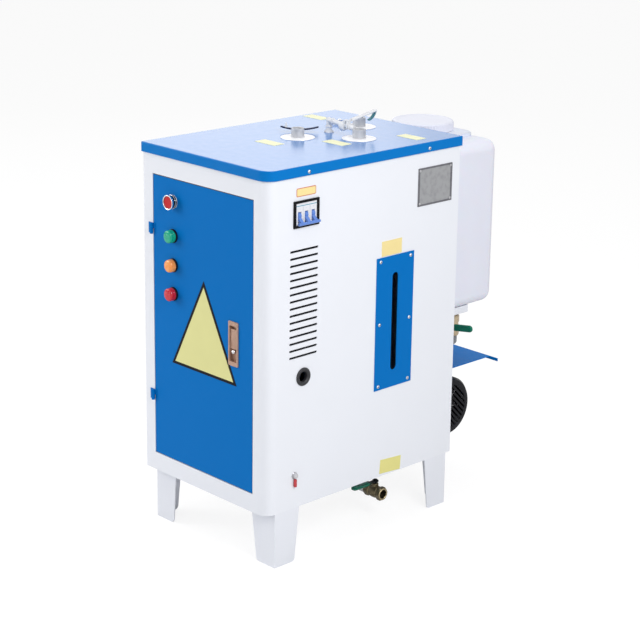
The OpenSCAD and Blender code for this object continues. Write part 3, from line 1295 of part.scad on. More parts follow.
module feed_pipe() color([0.72, 0.45, 0.28]) place() difference() {
  union() {
    translate([feed_x, cabinet_d + pump_out_y, pump_out_top])
        cylinder(r = feed_r, h = feed_z - pump_out_top);
    translate([feed_x, cabinet_d + pump_out_y, pump_out_top]) hex(2 * check_r, check_r);
    translate([feed_x, cabinet_d + pump_out_y, feed_z]) sphere(r = feed_r + over);
    translate([feed_x, feed_nozzle_y, feed_z]) rod_y(feed_r, cabinet_d + pump_out_y - feed_nozzle_y);
    translate([feed_x, feed_nozzle_y, feed_z]) rod_y(feed_nozzle_r + over, check_r);
  }
  translate([feed_x, cabinet_d + pump_out_y, pump_out_top - over])
      cylinder(r = feed_r - over, h = feed_z - pump_out_top + over);
  translate([feed_x, feed_nozzle_y - over, feed_z])
      rod_y(feed_r - over, cabinet_d + pump_out_y - feed_nozzle_y + over);
}
lip_w = 296;
lip_t = 2;
lip_h = 7;
cover_flange = 18;
module pump_cover() color([0.1, 0.4, 0.75]) place() difference() {
  union() {
    box([-cover_w / 2, cabinet_d, cover_z], [cover_w / 2, cabinet_d + cover_d, cover_z + sheet_t]);
    box([-cover_w / 2, cabinet_d, cover_z], [cover_w / 2, cabinet_d + sheet_t, cover_z + cover_flange]);
    box([-lip_w / 2, cabinet_d + cover_d - lip_t, cover_z + sheet_t - lip_h],
        [lip_w / 2, cabinet_d + cover_d, cover_z + sheet_t]);
  }
  translate([inlet_x, tap_y0, cover_z - over]) cylinder(r = hose_r + 2 * over, h = sheet_t + 2 * over);
}
bracket_w = 112;
bracket_d = 122;
bracket_up = 50;
module pump_bracket() color([0.9, 0.91, 0.94]) place() {
  x0 = (motor_x0 + motor_x1 - bracket_w) / 2;
  box([x0, cabinet_d, bracket_z - bracket_t], [x0 + bracket_w, cabinet_d + bracket_d, bracket_z]);
  box([x0, cabinet_d, bracket_z], [x0 + bracket_w, cabinet_d + bracket_t, bracket_up]);
}

front_frame();
side_and_back_sheets();
base_pan();
legs();
top_lid();
panel_screws();
door_panel();
hinge_brackets();
start_button_housing();
start_button_cap();
lamp_bodies();
lamp_lens_green();
lamp_lens_amber();
lamp_lens_red();
latch_housing();
latch_paddle();
latch_button();
latch_bolt();
triangle_plate();
breaker_frame();
breaker_body();
breaker_toggle();
label_plates();
cable_grommet();
earth_screw();
earth_terminal();
sight_plate();
sight_glass();
sight_cocks();
name_plate();
outlet_escutcheons();
outlet_sockets();
vent_cocks();
front_wing_handle();
rear_wing_handle();
relief_valve();
relief_lever();
boiler_drum();
drum_jacket();
heater_unit();
partition_plate();
contactor();
terminal_block();
pressure_switch();
drain_pipe();
drain_valve();
drain_lever();
water_tank();
tank_cap();
tank_shelf();
tank_valve();
tank_valve_lever();
feed_hose();
feed_pipe();
pump_motor();
fan_cowl();
pump_rotor();
pump_head();
pump_cover();
pump_bracket();
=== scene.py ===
"""Dresses an electric steam boiler: pieces, finishes, light and camera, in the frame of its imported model."""
import json
import math

import bmesh
import bpy
from bpy.props import FloatProperty, FloatVectorProperty, IntProperty, PointerProperty
from mathutils import Matrix, Vector
from mathutils.geometry import tessellate_polygon

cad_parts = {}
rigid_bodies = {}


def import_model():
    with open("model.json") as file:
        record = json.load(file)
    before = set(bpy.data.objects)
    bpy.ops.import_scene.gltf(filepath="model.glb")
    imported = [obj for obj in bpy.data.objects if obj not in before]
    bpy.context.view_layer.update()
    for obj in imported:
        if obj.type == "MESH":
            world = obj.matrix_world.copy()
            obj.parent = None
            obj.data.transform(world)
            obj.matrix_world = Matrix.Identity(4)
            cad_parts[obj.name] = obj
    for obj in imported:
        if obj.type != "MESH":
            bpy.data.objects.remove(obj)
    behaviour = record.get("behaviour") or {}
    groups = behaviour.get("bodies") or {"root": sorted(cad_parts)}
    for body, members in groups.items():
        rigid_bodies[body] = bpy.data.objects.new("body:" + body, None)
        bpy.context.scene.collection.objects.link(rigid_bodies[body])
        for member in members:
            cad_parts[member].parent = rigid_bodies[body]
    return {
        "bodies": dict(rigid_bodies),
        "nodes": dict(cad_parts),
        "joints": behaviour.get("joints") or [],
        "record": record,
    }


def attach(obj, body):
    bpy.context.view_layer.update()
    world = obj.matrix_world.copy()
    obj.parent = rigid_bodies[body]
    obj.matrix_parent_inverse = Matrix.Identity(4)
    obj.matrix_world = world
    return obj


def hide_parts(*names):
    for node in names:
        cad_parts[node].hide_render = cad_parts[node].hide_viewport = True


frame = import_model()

bl_info = {
    "name": "Steam boiler",
    "version": (1, 0, 0),
    "blender": (4, 5, 0),
    "location": "3D View > Sidebar > Boiler",
    "description": "Builds the pieces and finishes of an electric steam boiler",
    "category": "Object",
}

# Pieces are drawn in millimetres from the middle of the front face's bottom edge
MM = 0.001
HOME = Vector((-5, -353, 114))
HALF_W, DEPTH, LID_TOP, LID_H, SHEET = 185, 530, 688, 20, 1.5
CORNER, FOLD = 24, 2
CORNERS = ((-1, -1), (-1, 1), (1, -1), (1, 1))
# Places on the lid: the drum's axis, the steam outlets round it and the two vent cocks
DRUM_X, DRUM_Y, DRUM_R = -15, 349, 125
OUTLETS = ((DRUM_X, 261.5), (72.5, DRUM_Y), (DRUM_X, 436.5))
COCKS = ((-55, 304), (-65, 429))
# Places on the right side, from the front and from the bottom
BREAKER, LOUVRES, EARTH = (97.8, 595.4), (94.8, 418.1), (74.5, 69.3)
NAME_PLATE, GAUGE_PLATE = (456.7, 597), (346, 330.2)
# Places on the door
CONTROL_X, START_Z = -92, 581.7
LAMPS = (("green", 512, True), ("amber", 452, False), ("red", 393, True))
# Places below and behind the cabinet
DRAIN_Z, DRAIN_VALVE_X, DRAIN_LEVER = -55, 117, (141, DRUM_Y, -33)
TANK_Y, TAP_X, TAP_Y, TAP_Z, TAP_SPINDLE_Y = 615, 110, 612, 249.5, 590
HOSE_Z, HOSE_R, HOSE_BEND, INLET_X = 214, 7, 35, -111
MOTOR_Y, MOTOR_Z = 617, 56


# ---------------------------------------------------------------- sizes and colours


class BoilerSizes(bpy.types.PropertyGroup):
    """Sizes of the small forms that the scene gives the boiler."""

    edge: FloatProperty(name="Folded edge", description="Radius of a fold in the sheet steel, in mm",
                        default=1.2, min=0.2, max=3)
    round_steps: IntProperty(name="Steps round a turned piece", description="Faces round a turned piece",
                             default=48, min=16, max=96)
    tank_edge: FloatProperty(name="Tank edge", description="Radius of the tank's edges, in mm",
                             default=24, min=10, max=30)
    cap_ribs: IntProperty(name="Cap ribs", description="Ribs round the tank's cap", default=60, min=20, max=90)


def tint(name, words, value):
    """A colour that a user may change."""
    return FloatVectorProperty(name=name, description=words, subtype="COLOR", size=3, min=0, max=1, default=value)


class BoilerColours(bpy.types.PropertyGroup):
    """Base colours of the boiler's finishes, in linear light."""

    cabinet: tint("Cabinet white", "Powder coat of the cabinet", (0.80, 0.82, 0.875))
    leg: tint("Leg white", "Powder coat of the legs", (0.78, 0.80, 0.86))
    door: tint("Door blue", "Powder coat of the door and plates", (0.0, 0.155, 0.50))
    lid: tint("Lid blue", "Powder coat of the lid", (0.001, 0.17, 0.53))
    triangle: tint("Triangle yellow", "Bare face of the triangular plate", (0.72, 0.70, 0.30))
    label: tint("Label cream", "Bare face of the labels", (0.86, 0.71, 0.32))
    sleeve: tint("Sleeve green", "Vinyl sleeves of the valve levers", (0.0, 0.125, 0.075))
    tank: tint("Tank white", "Plastic of the tank and its cap", (0.74, 0.755, 0.85))
    motor: tint("Motor black", "Enamel of the motor and its cowl", (0.003, 0.003, 0.006))


# ---------------------------------------------------------------- finishes


class Wire:
    """One output of a node, with the maths written as Python."""

    def __init__(self, nodes, socket):
        self.nodes, self.socket = nodes, socket

    def _math(self, operation, *values):
        return self.nodes.node("ShaderNodeMath", {"operation": operation},
                               **{f"#{i}": v for i, v in enumerate(values)})

    def __add__(self, other): return self._math("ADD", self, other)
    __radd__ = __add__
    def __mul__(self, other): return self._math("MULTIPLY", self, other)
    __rmul__ = __mul__
    def __sub__(self, other): return self._math("SUBTRACT", self, other)
    def __rsub__(self, other): return self._math("SUBTRACT", other, self)
    def __gt__(self, other): return self._math("GREATER_THAN", self, other)
    def high(self, other): return self._math("MAXIMUM", self, other)


class Nodes:
    """The node tree of a material or a world, being made."""

    def __init__(self, owner):
        owner.use_nodes = True
        self.tree = owner.node_tree
        self.tree.nodes.clear()

    def node(self, kind, settings=None, output=0, **sockets):
        """Adds a node with its settings, then the values or links of its sockets; #2 is the third socket."""
        n = self.tree.nodes.new(kind)
        for key, value in (settings or {}).items():
            setattr(n, key, value)
        for key, value in sockets.items():
            self.plug(n.inputs[int(key[1:]) if key[0] == "#" else key.replace("_", " ")], value)
        return Wire(self, n.outputs[output]) if n.outputs else n

    def plug(self, socket, value):
        """Gives a socket a link or a value."""
        if isinstance(value, Wire):
            self.tree.links.new(value.socket, socket)
        else:
            socket.default_value = value


class Finish(Nodes):
    """A procedural material for one kind of surface."""

    made = {}

    def __init__(self, name, colour, rough, metal=0.0, coat=0.0, **constants):
        self.material = bpy.data.materials.new(name)
        super().__init__(self.material)
        self.face = self.node("ShaderNodeBsdfPrincipled")
        self.output = self.node("ShaderNodeOutputMaterial", Surface=self.face)
        self.colour = (*colour, 1)
        self.set("Base Color", self.colour).set("Roughness", rough).set("Metallic", metal).set("Coat Weight", coat)
        for socket, value in constants.items():
            self.set(socket.replace("_", " ").title().replace("Ior", "IOR"), value)
        Finish.made[name] = self

    def set(self, socket, value):
        self.plug(self.face.socket.node.inputs[socket], value)
        return self

    def place(self):
        """The point on the surface, in metres of the model's frame."""
        return self.node("ShaderNodeTexCoord", output=3)

    def along(self, axis):
        """One coordinate of the point on the surface: 0, 1 or 2."""
        return self.node("ShaderNodeSeparateXYZ", output=axis, **{"#0": self.place()})

    def noise(self, per_metre, detail=3.0, rough=0.5, stretch=(1, 1, 1)):
        where = self.node("ShaderNodeVectorMath", {"operation": "MULTIPLY"}, **{"#0": self.place(), "#1": stretch})
        return self.node("ShaderNodeTexNoise", Vector=where, Scale=per_metre, Detail=detail, Roughness=rough)

    def bump(self, height, millimetres):
        """Raises the surface by height times so many millimetres."""
        return self.set("Normal", self.node("ShaderNodeBump", Strength=1.0, Distance=millimetres * MM, Height=height))

    def shade(self, factor, other):
        """Takes the colour towards another where factor is 1."""
        return self.set("Base Color", self.node("ShaderNodeMix", {"data_type": "RGBA"}, output=2,
                                                **{"#0": factor, "#6": self.colour, "#7": (*other, 1)}))


def dim(colour, share):
    return tuple(c * share for c in colour)


def powder_coat(name, colour, rough=0.36, peel=0.02, shine=0.3):
    """Baked powder coat: orange peel, and slow changes of gloss and tone."""
    f = Finish(name, colour, rough, specular_ior_level=shine)
    f.shade(f.noise(7, 2) * 0.5, dim(colour, 0.93))
    f.set("Roughness", f.noise(60, 2) * 0.12 + (rough - 0.06))
    return f.bump(f.noise(420, 2) + f.noise(1300, 1) * 0.3, peel)


def lid_coat(name, colour):
    """Powder coat of the lid, with a deep gloss on its flat top."""
    f = powder_coat(name, colour, rough=0.34, peel=0.004, shine=0.08)
    f.set("Coat IOR", 1.8).set("Coat Roughness", 0.2)
    return f.set("Coat Weight", f.along(2) > (HOME.z + LID_TOP - 0.5) * MM)


def worked_metal(name, colour, rough, stretch=(1, 1, 1), grain=1600, depth=0.02, stain=(0.5, 0.5, 0.5), metal=1.0):
    """Bare metal with fine tool marks, and duller where it was handled."""
    f = Finish(name, colour, rough, metal=metal)
    marks = f.noise(grain, 3, 0.6, stretch)
    dull = f.noise(90, 3)
    f.shade((dull - 0.45).high(0) * 1.4, tuple(c * s for c, s in zip(colour, stain)))
    f.set("Roughness", marks * 0.16 + dull * 0.14 + (rough - 0.14))
    return f.bump(marks, depth)


def moulded(name, colour, rough=0.4, grain=900, depth=0.012, coat=0.0, shine=0.5, **constants):
    """Moulded plastic with a fine grain and slight flow marks."""
    f = Finish(name, colour, rough, coat=coat, specular_ior_level=shine, **constants)
    f.shade(f.noise(25, 2) * 0.35, dim(colour, 0.9))
    f.set("Roughness", f.noise(150, 2) * 0.1 + (rough - 0.05))
    return f.bump(f.noise(grain, 2), depth)


def dipped_vinyl(name, colour):
    """Soft dipped vinyl, shiny, with slow dents."""
    f = Finish(name, colour, 0.32, coat=0.12, coat_roughness=0.2, specular_ior_level=0.25)
    f.shade((f.noise(60, 3) - 0.4).high(0) * 0.6, dim(colour, 2.2))
    f.set("Roughness", f.noise(120, 2) * 0.25 + 0.2)
    return f.bump(f.noise(140, 3) + f.noise(900, 1) * 0.08, 0.25)


def cast_bronze(name, colour):
    """Cast bronze, dark in the grain and bright on the machined rings."""
    f = Finish(name, colour, 0.38, metal=1.0)
    grain = f.noise(700, 4, 0.6)
    f.shade((grain - 0.35).high(0) * 1.5, dim(colour, 0.35))
    f.set("Roughness", grain * 0.3 + 0.26)
    return f.bump(grain, 0.08)


def printed_plate(name, colour, shine=0.35):
    """Thin printed plate or label, slightly mottled, with a satin film."""
    f = Finish(name, colour, 0.42, specular_ior_level=shine)
    f.shade(f.noise(35, 3) * 0.5, dim(colour, 0.9))
    f.set("Roughness", f.noise(200, 2) * 0.15 + 0.35)
    return f.bump(f.noise(500, 2), 0.008)


def coloured_glass(name, colour, glow):
    """Moulded lens of a lamp: deep colour with fine flutes round it."""
    f = Finish(name, colour, 0.2, coat=0.2, coat_roughness=0.05, subsurface_weight=0.15, specular_ior_level=0.3)
    f.set("Subsurface Radius", (0.004, 0.002, 0.002)).set("Subsurface Scale", 0.5)
    inner = f.noise(130, 2)
    f.shade((inner - 0.45).high(0) * 1.5, glow)
    f.set("Roughness", f.noise(300, 2) * 0.1 + 0.08)
    return f.bump(f.noise(260, 1), 0.03)


def make_finishes(c):
    """Makes every finish of the boiler from the colours that a user may change."""
    powder_coat("cabinet_white", tuple(c.cabinet))
    powder_coat("leg_white", tuple(c.leg), rough=0.42)
    powder_coat("door_blue", tuple(c.door), rough=0.4, shine=0.05)
    lid_coat("lid_blue", tuple(c.lid))
    worked_metal("bright_steel", (0.66, 0.66, 0.68), 0.30)
    worked_metal("chrome_trim", (0.80, 0.80, 0.82), 0.16, depth=0.004)
    moulded("button_red", (0.55, 0.03, 0.035), rough=0.35, shine=0.1)
    moulded("black_plastic", (0.004, 0.004, 0.006), rough=0.42, shine=0.15)
    coloured_glass("lens_green", (0.003, 0.36, 0.21), (0.02, 0.55, 0.35))
    coloured_glass("lens_amber", (0.86, 0.30, 0.07), (0.95, 0.5, 0.2))
    coloured_glass("lens_red", (0.52, 0.012, 0.03), (0.8, 0.08, 0.08))
    worked_metal("satin_nickel", (0.47, 0.30, 0.225), 0.46, stretch=(1, 1, 8), metal=0.5)
    printed_plate("plate_yellow", tuple(c.triangle))
    printed_plate("plate_border", (0.006, 0.006, 0.008), shine=0.1)
    moulded("breaker_white", (0.74, 0.75, 0.80), rough=0.4)
    moulded("toggle_blue", (0.10, 0.22, 0.62), rough=0.33, coat=0.2)
    printed_plate("label_cream", tuple(c.label))
    printed_plate("label_lemon", (0.75, 0.70, 0.25))
    # The cream of the labels made paler for the labels on the lid: painted reflection of the bright surroundings.
    printed_plate("label_painted_reflection", (0.85, 0.85, 0.55))
    moulded("grommet_rubber", (0.018, 0.018, 0.022), rough=0.55, grain=500, depth=0.03)
    dipped_vinyl("sleeve_red", (0.50, 0.05, 0.06))
    moulded("gauge_glass", (0.9, 0.95, 0.95), rough=0.06, transmission_weight=1.0, ior=1.47)
    worked_metal("brass_fitting", (0.58, 0.47, 0.32), 0.36, stain=(0.5, 0.4, 0.3), metal=0.7)
    worked_metal("plate_aluminium", (0.36, 0.365, 0.38), 0.5, stretch=(1, 12, 1), grain=700, metal=0.3)
    worked_metal("plate_rim", (0.16, 0.16, 0.18), 0.5, metal=0.3)
    # Escutcheons: near white with part of their light diffuse, which gives the steel's own brightness and also a
    # painted reflection of the bright surroundings.
    worked_metal("escutcheon_steel", (0.90, 0.90, 0.92), 0.5, stain=(0.8, 0.8, 0.8), metal=0.4)
    worked_metal("socket_steel", (0.50, 0.51, 0.54), 0.55, metal=0.4)
    moulded("handle_navy", (0.004, 0.01, 0.05), rough=0.4, shine=0.05)
    moulded("handle_blue", (0.003, 0.13, 0.55), rough=0.36, coat=0.1)
    powder_coat("relief_white", (0.70, 0.71, 0.74), rough=0.4)
    worked_metal("drum_steel", (0.42, 0.42, 0.43), 0.5, grain=400, depth=0.05)
    moulded("jacket_wool", (0.42, 0.36, 0.22), rough=0.85, grain=260, depth=0.8)
    worked_metal("inner_zinc", (0.55, 0.57, 0.60), 0.42, grain=120, depth=0.01)
    moulded("cream_plastic", (0.72, 0.66, 0.50), rough=0.42)
    moulded("switch_grey", (0.22, 0.23, 0.25), rough=0.45)
    worked_metal("pipe_grey", (0.34, 0.34, 0.35), 0.46, grain=500, depth=0.04)
    cast_bronze("valve_bronze", (0.20, 0.165, 0.10))
    dipped_vinyl("sleeve_green", tuple(c.sleeve))
    moulded("tank_plastic", tuple(c.tank), rough=0.38, grain=300, depth=0.02, subsurface_weight=0.1)
    moulded("cap_plastic", tuple(c.tank), rough=0.42)
    moulded("hose_plastic", (0.55, 0.56, 0.58), rough=0.35, subsurface_weight=0.1)
    worked_metal("pipe_copper", (0.72, 0.33, 0.18), 0.3, stain=(0.45, 0.4, 0.4))
    powder_coat("motor_black", tuple(c.motor), rough=0.36, shine=0.2)
    powder_coat("pump_iron", (0.03, 0.035, 0.05), rough=0.5, peel=0.05)
    printed_plate("label_border", (0.62, 0.20, 0.13))
    moulded("stripe_teal", (0.05, 0.30, 0.42), rough=0.4)
    moulded("tab_white", (0.80, 0.81, 0.84), rough=0.35)
    moulded("grip_teal", (0.02, 0.16, 0.20), rough=0.35, coat=0.3)
    cast_bronze("bronze_bright", (0.50, 0.41, 0.25))
    # Near-black bronze for the thread and the floor inside the drain valve's mouth: painted shade in the bore.
    cast_bronze("bronze_bore_shade", (0.03, 0.025, 0.018))
    # A darker copy of the sleeve's vinyl for the collar at the lever's root: painted shade.
    dipped_vinyl("sleeve_root_shade", (0.012, 0.03, 0.022))


# ---------------------------------------------------------------- meshes


def looking(origin, along, out):
    """A frame at origin with its X along one direction and its Z out along another."""
    z = Vector(out).normalized()
    x = (Vector(along) - Vector(along).dot(z) * z).normalized()
    return Matrix.Translation(origin) @ Matrix((x, z.cross(x), z)).transposed().to_4x4()


def at(x, y, z):
    """A frame at a point, its axes along the cabinet's."""
    return Matrix.Translation((x, y, z))


def to_front(x, y, z):
    """A frame at a point: its X to the right, its Y up, its Z to the front."""
    return looking((x, y, z), (1, 0, 0), (0, -1, 0))


def to_right(x, y, z):
    """A frame at a point: its X to the back, its Y up, its Z to the right."""
    return looking((x, y, z), (0, 1, 0), (1, 0, 0))


def on_side(y, z, out=0.0):
    return to_right(HALF_W + out, y, z)


def circle(radius, steps):
    return [(radius * math.cos(2 * math.pi * i / steps), radius * math.sin(2 * math.pi * i / steps))
            for i in range(steps)]


def rounded(w, h, r, steps=6):
    """Outline of a rectangle with rounded corners."""
    out = []
    for sx, sy, turn in ((1, 1, 0), (-1, 1, 1), (-1, -1, 2), (1, -1, 3)):
        for i in range(steps + 1):
            a = math.pi / 2 * (turn + i / steps)
            out.append((sx * (w / 2 - r) + r * math.cos(a), sy * (h / 2 - r) + r * math.sin(a)))
    return out


def arc(centre, radius, start, end, steps):
    """Points on an arc, angles in degrees."""
    angles = [math.radians(start + (end - start) * i / steps) for i in range(steps + 1)]
    return [(centre[0] + radius * math.cos(a), centre[1] + radius * math.sin(a)) for a in angles]


def spun(r, z, steps, wave):
    """Points round Z at a radius and a height; wave gives the radius that it has at each angle."""
    angles = [2 * math.pi * i / steps for i in range(steps)]
    return [(k * math.cos(a), k * math.sin(a), z) for a, k in ((a, wave(r, a, z) if wave else r) for a in angles)]


def bands(rings):
    """Four-sided faces from each closed ring of point numbers to the next."""
    return [(low[i - 1], low[i], high[i], high[i - 1])
            for low, high in zip(rings, rings[1:]) for i in (*range(1, len(low)), 0)]


def filled(loops):
    """Triangles over a flat outline and its holes."""
    return tessellate_polygon([[Vector((*p, 0)) for p in loop] for loop in loops])


class Form:
    """A mesh being made, in millimetres of the cabinet's frame or of a frame placed in it."""

    def __init__(self, frame=None):
        self.bm = bmesh.new()
        self.frame = frame or Matrix()
        self.paint = 0

    def add(self, points, faces, frame=None):
        m = self.frame @ (frame or Matrix())
        verts = [self.bm.verts.new(m @ Vector(p)) for p in points]
        for f in faces:
            if len(set(f)) > 2:
                self.bm.faces.new([verts[i] for i in dict.fromkeys(f)]).material_index = self.paint

    def prism(self, outline, low, high, holes=(), frame=None):
        """A plate of an outline with holes, from one height to another."""
        loops = [outline, *holes]
        flat = [p for loop in loops for p in loop]
        n, faces, start = len(flat), [], 0
        for tri in filled(loops):
            faces += [tuple(tri), tuple(i + n for i in reversed(tri))]
        for loop in loops:
            ring = range(start, start + len(loop))
            faces += bands([ring, [i + n for i in ring]])
            start += len(loop)
        self.add([(x, y, z) for z in (low, high) for x, y in flat], faces, frame)

    def block(self, low, high, frame=None):
        corners = [(low[0], low[1]), (high[0], low[1]), (high[0], high[1]), (low[0], high[1])]
        self.prism(corners, low[2], high[2], frame=frame)

    def round_block(self, low, high, radius, segments):
        """A block whose edges and corners are all round."""
        bm = bmesh.new()
        bmesh.ops.create_cube(bm, size=1)
        for v in bm.verts:
            v.co = Vector([low[i] + (v.co[i] + 0.5) * (high[i] - low[i]) for i in range(3)])
        bmesh.ops.bevel(bm, geom=bm.edges[:], offset=radius, segments=segments, profile=0.5, affect="EDGES")
        bm.verts.index_update()
        self.add([tuple(v.co) for v in bm.verts], [tuple(v.index for v in f.verts) for f in bm.faces])
        bm.free()

    def tray(self, outline, profile, holes):
        """A sheet with folded edges: outline gives its outline moved in, and the profile of pairs of inset and
        height runs from its face over the edge to its back."""
        points, rings, walls = [], [], []

        def numbered(loop, z):
            points.extend((x, y, z) for x, y in loop)
            return range(len(points) - len(loop), len(points))
        for inset, z in profile:
            rings.append(numbered(outline(inset), z))
        faces = bands(rings)
        for ring, (inset, z) in ((rings[0], profile[0]), (rings[-1], profile[-1])):
            inner = [numbered(hole, z) for hole in holes]
            index = [i for loop in (ring, *inner) for i in loop]
            faces += [tuple(index[i] for i in tri) for tri in filled([outline(inset), *holes])]
            walls.append(inner)
        for ends in zip(*walls):
            faces += bands(ends)
        self.add(points, faces)

    def turned(self, profile, steps=48, frame=None, wave=None):
        """A turned piece about Z from pairs of radius and height."""
        points, rings = [], []
        for r, z in profile:
            if r <= 0:
                rings.append([len(points)] * steps)
                points.append((0, 0, z))
            else:
                rings.append(range(len(points), len(points) + steps))
                points += spun(r, z, steps, wave)
        faces = bands(rings)
        if profile[0][0] > 0:
            faces.append(tuple(reversed(rings[0])))
        if profile[-1][0] > 0:
            faces.append(tuple(rings[-1]))
        self.add(points, faces, frame)

    def ring(self, profile, steps=48, frame=None, wave=None):
        """A turned ring about Z: the profile closes on itself."""
        n = len(profile)
        loops = [spun(r, z, steps, wave) for r, z in profile]
        columns = [range(i * n, i * n + n) for i in range(steps)]
        self.add([loop[i] for i in range(steps) for loop in loops], bands(columns + columns[:1]), frame)

    def hexagon(self, flats, low, high, chamfer, bore=0.0):
        """A hexagonal nut about Z, with its corners turned off at both ends."""
        turned_off = 1.02

        def sided(r, a, z):
            full = 1 / math.cos(a % math.radians(60) - math.radians(30))
            return r if r == bore else r * (min(full, turned_off) if z in (low, high) else full)
        r, steps = flats / 2, 36
        outer = [(r, low), (r, low + chamfer), (r, high - chamfer), (r, high)]
        if bore:
            self.ring([*outer, (bore, high), (bore, low)], steps, wave=sided)
        else:
            self.turned(outer, steps, wave=sided)

    def ball(self, centre, radius, steps):
        half = steps // 2
        profile = [(radius * math.sin(math.pi * i / half), -radius * math.cos(math.pi * i / half))
                   for i in range(1, half)]
        self.turned([(0, -radius), *profile, (0, radius)], steps, at(*centre))

    def swept(self, path, section, sizes=None, up=(0, 0, 1)):
        """Sweeps a closed section of (u, v) points along a path; sizes scales it at each point."""
        pts = [Vector(p) for p in path]
        n, points, side = len(section), [], None
        for p, before, after, (ku, kv) in zip(pts, pts[:1] + pts, pts[1:] + pts[-1:], sizes or [(1, 1)] * len(pts)):
            t = (after - before).normalized()
            side = (t.cross(Vector(up)) if side is None else side - side.dot(t) * t).normalized()
            high = side.cross(t)
            points += [p + side * u * ku + high * v * kv for u, v in section]
        rings = [range(i * n, i * n + n) for i in range(len(pts))]
        self.add(points, bands(rings) + [tuple(reversed(rings[0])), tuple(rings[-1])])

    def finished(self, name, body, slot, *nodes, paints=None, bevel=0.0, sharp=38):
        """Ends the form as a piece that rides on a body, in place of CAD nodes; paints are its finishes."""
        bm, same_point, no_length = self.bm, 0.0005, 0.0002
        bmesh.ops.remove_doubles(bm, verts=bm.verts, dist=same_point)
        bmesh.ops.dissolve_degenerate(bm, dist=no_length, edges=bm.edges)
        bmesh.ops.recalc_face_normals(bm, faces=bm.faces)
        for v in bm.verts:
            v.co = (v.co + HOME) * MM
        mesh = bpy.data.meshes.new(name)
        bm.to_mesh(mesh)
        bm.free()
        settle(name, mesh, body, paints or (slot,), nodes, bevel, 2, sharp)


def settle(name, mesh, body, paints, nodes, bevel, segments, sharp):
    """Makes a piece of a mesh: its rounded edges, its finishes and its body."""
    mesh.shade_smooth()
    mesh.set_sharp_from_angle(angle=math.radians(sharp))
    obj = bpy.data.objects.new(name, mesh)
    bpy.context.scene.collection.objects.link(obj)
    for paint in paints:
        mesh.materials.append(Finish.made[paint].material)
    if bevel:
        mod = obj.modifiers.new("Rounded edges", "BEVEL")
        mod.width, mod.segments, mod.limit_method = bevel * MM, segments, "ANGLE"
        mod.angle_limit = math.radians(sharp)
        mod.harden_normals = True
    obj.modifiers.new("Even faces", "WEIGHTED_NORMAL").keep_sharp = True
    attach(obj, body)
    if nodes:
        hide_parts(*nodes)


def eased(name, node, bevel, segments=2, sharp=38, joined=None):
    """A piece with the shape of a CAD node and rounded edges, which replaces it; joined is another node that meets
    the first in the plane of the front corners, where the two become one sheet."""
    body = next(b for b, members in frame["record"]["behaviour"]["bodies"].items() if node in members)
    slot = next(row["material_slot"] for row in frame["record"]["subparts"] if row["node"] == node)
    mesh = frame["nodes"][node].data.copy()
    mesh.name = name
    mesh.materials.clear()
    bm = bmesh.new()
    bm.from_mesh(mesh)
    near, flat = 0.00001, math.radians(0.6)
    if joined:
        bm.from_mesh(frame["nodes"][joined].data)
        seam, side = (HOME.y + CORNER) * MM, (HALF_W - 2 * SHEET) * MM
        ends = [f for f in bm.faces if all(abs(v.co.y - seam) < near and abs(v.co.x - HOME.x * MM) > side
                                           for v in f.verts)]
        bmesh.ops.delete(bm, geom=ends, context="FACES")
    bmesh.ops.remove_doubles(bm, verts=bm.verts, dist=near)
    bmesh.ops.dissolve_limit(bm, angle_limit=flat, verts=bm.verts, edges=bm.edges, delimit={"NORMAL"})
    for f in bm.faces:
        f.material_index = 0
    bm.to_mesh(mesh)
    bm.free()
    settle(name, mesh, body, (slot,), (node, joined) if joined else (node,), bevel, segments, sharp)


def dress(finish, node):
    """Gives a CAD node a finish."""
    mesh = frame["nodes"][node].data
    mesh.materials.clear()
    mesh.materials.append(Finish.made[finish].material)
    mesh.polygons.foreach_set("material_index", [0] * len(mesh.polygons))
    mesh.shade_smooth()
    mesh.set_sharp_from_angle(angle=math.radians(32))


# ---------------------------------------------------------------- stage


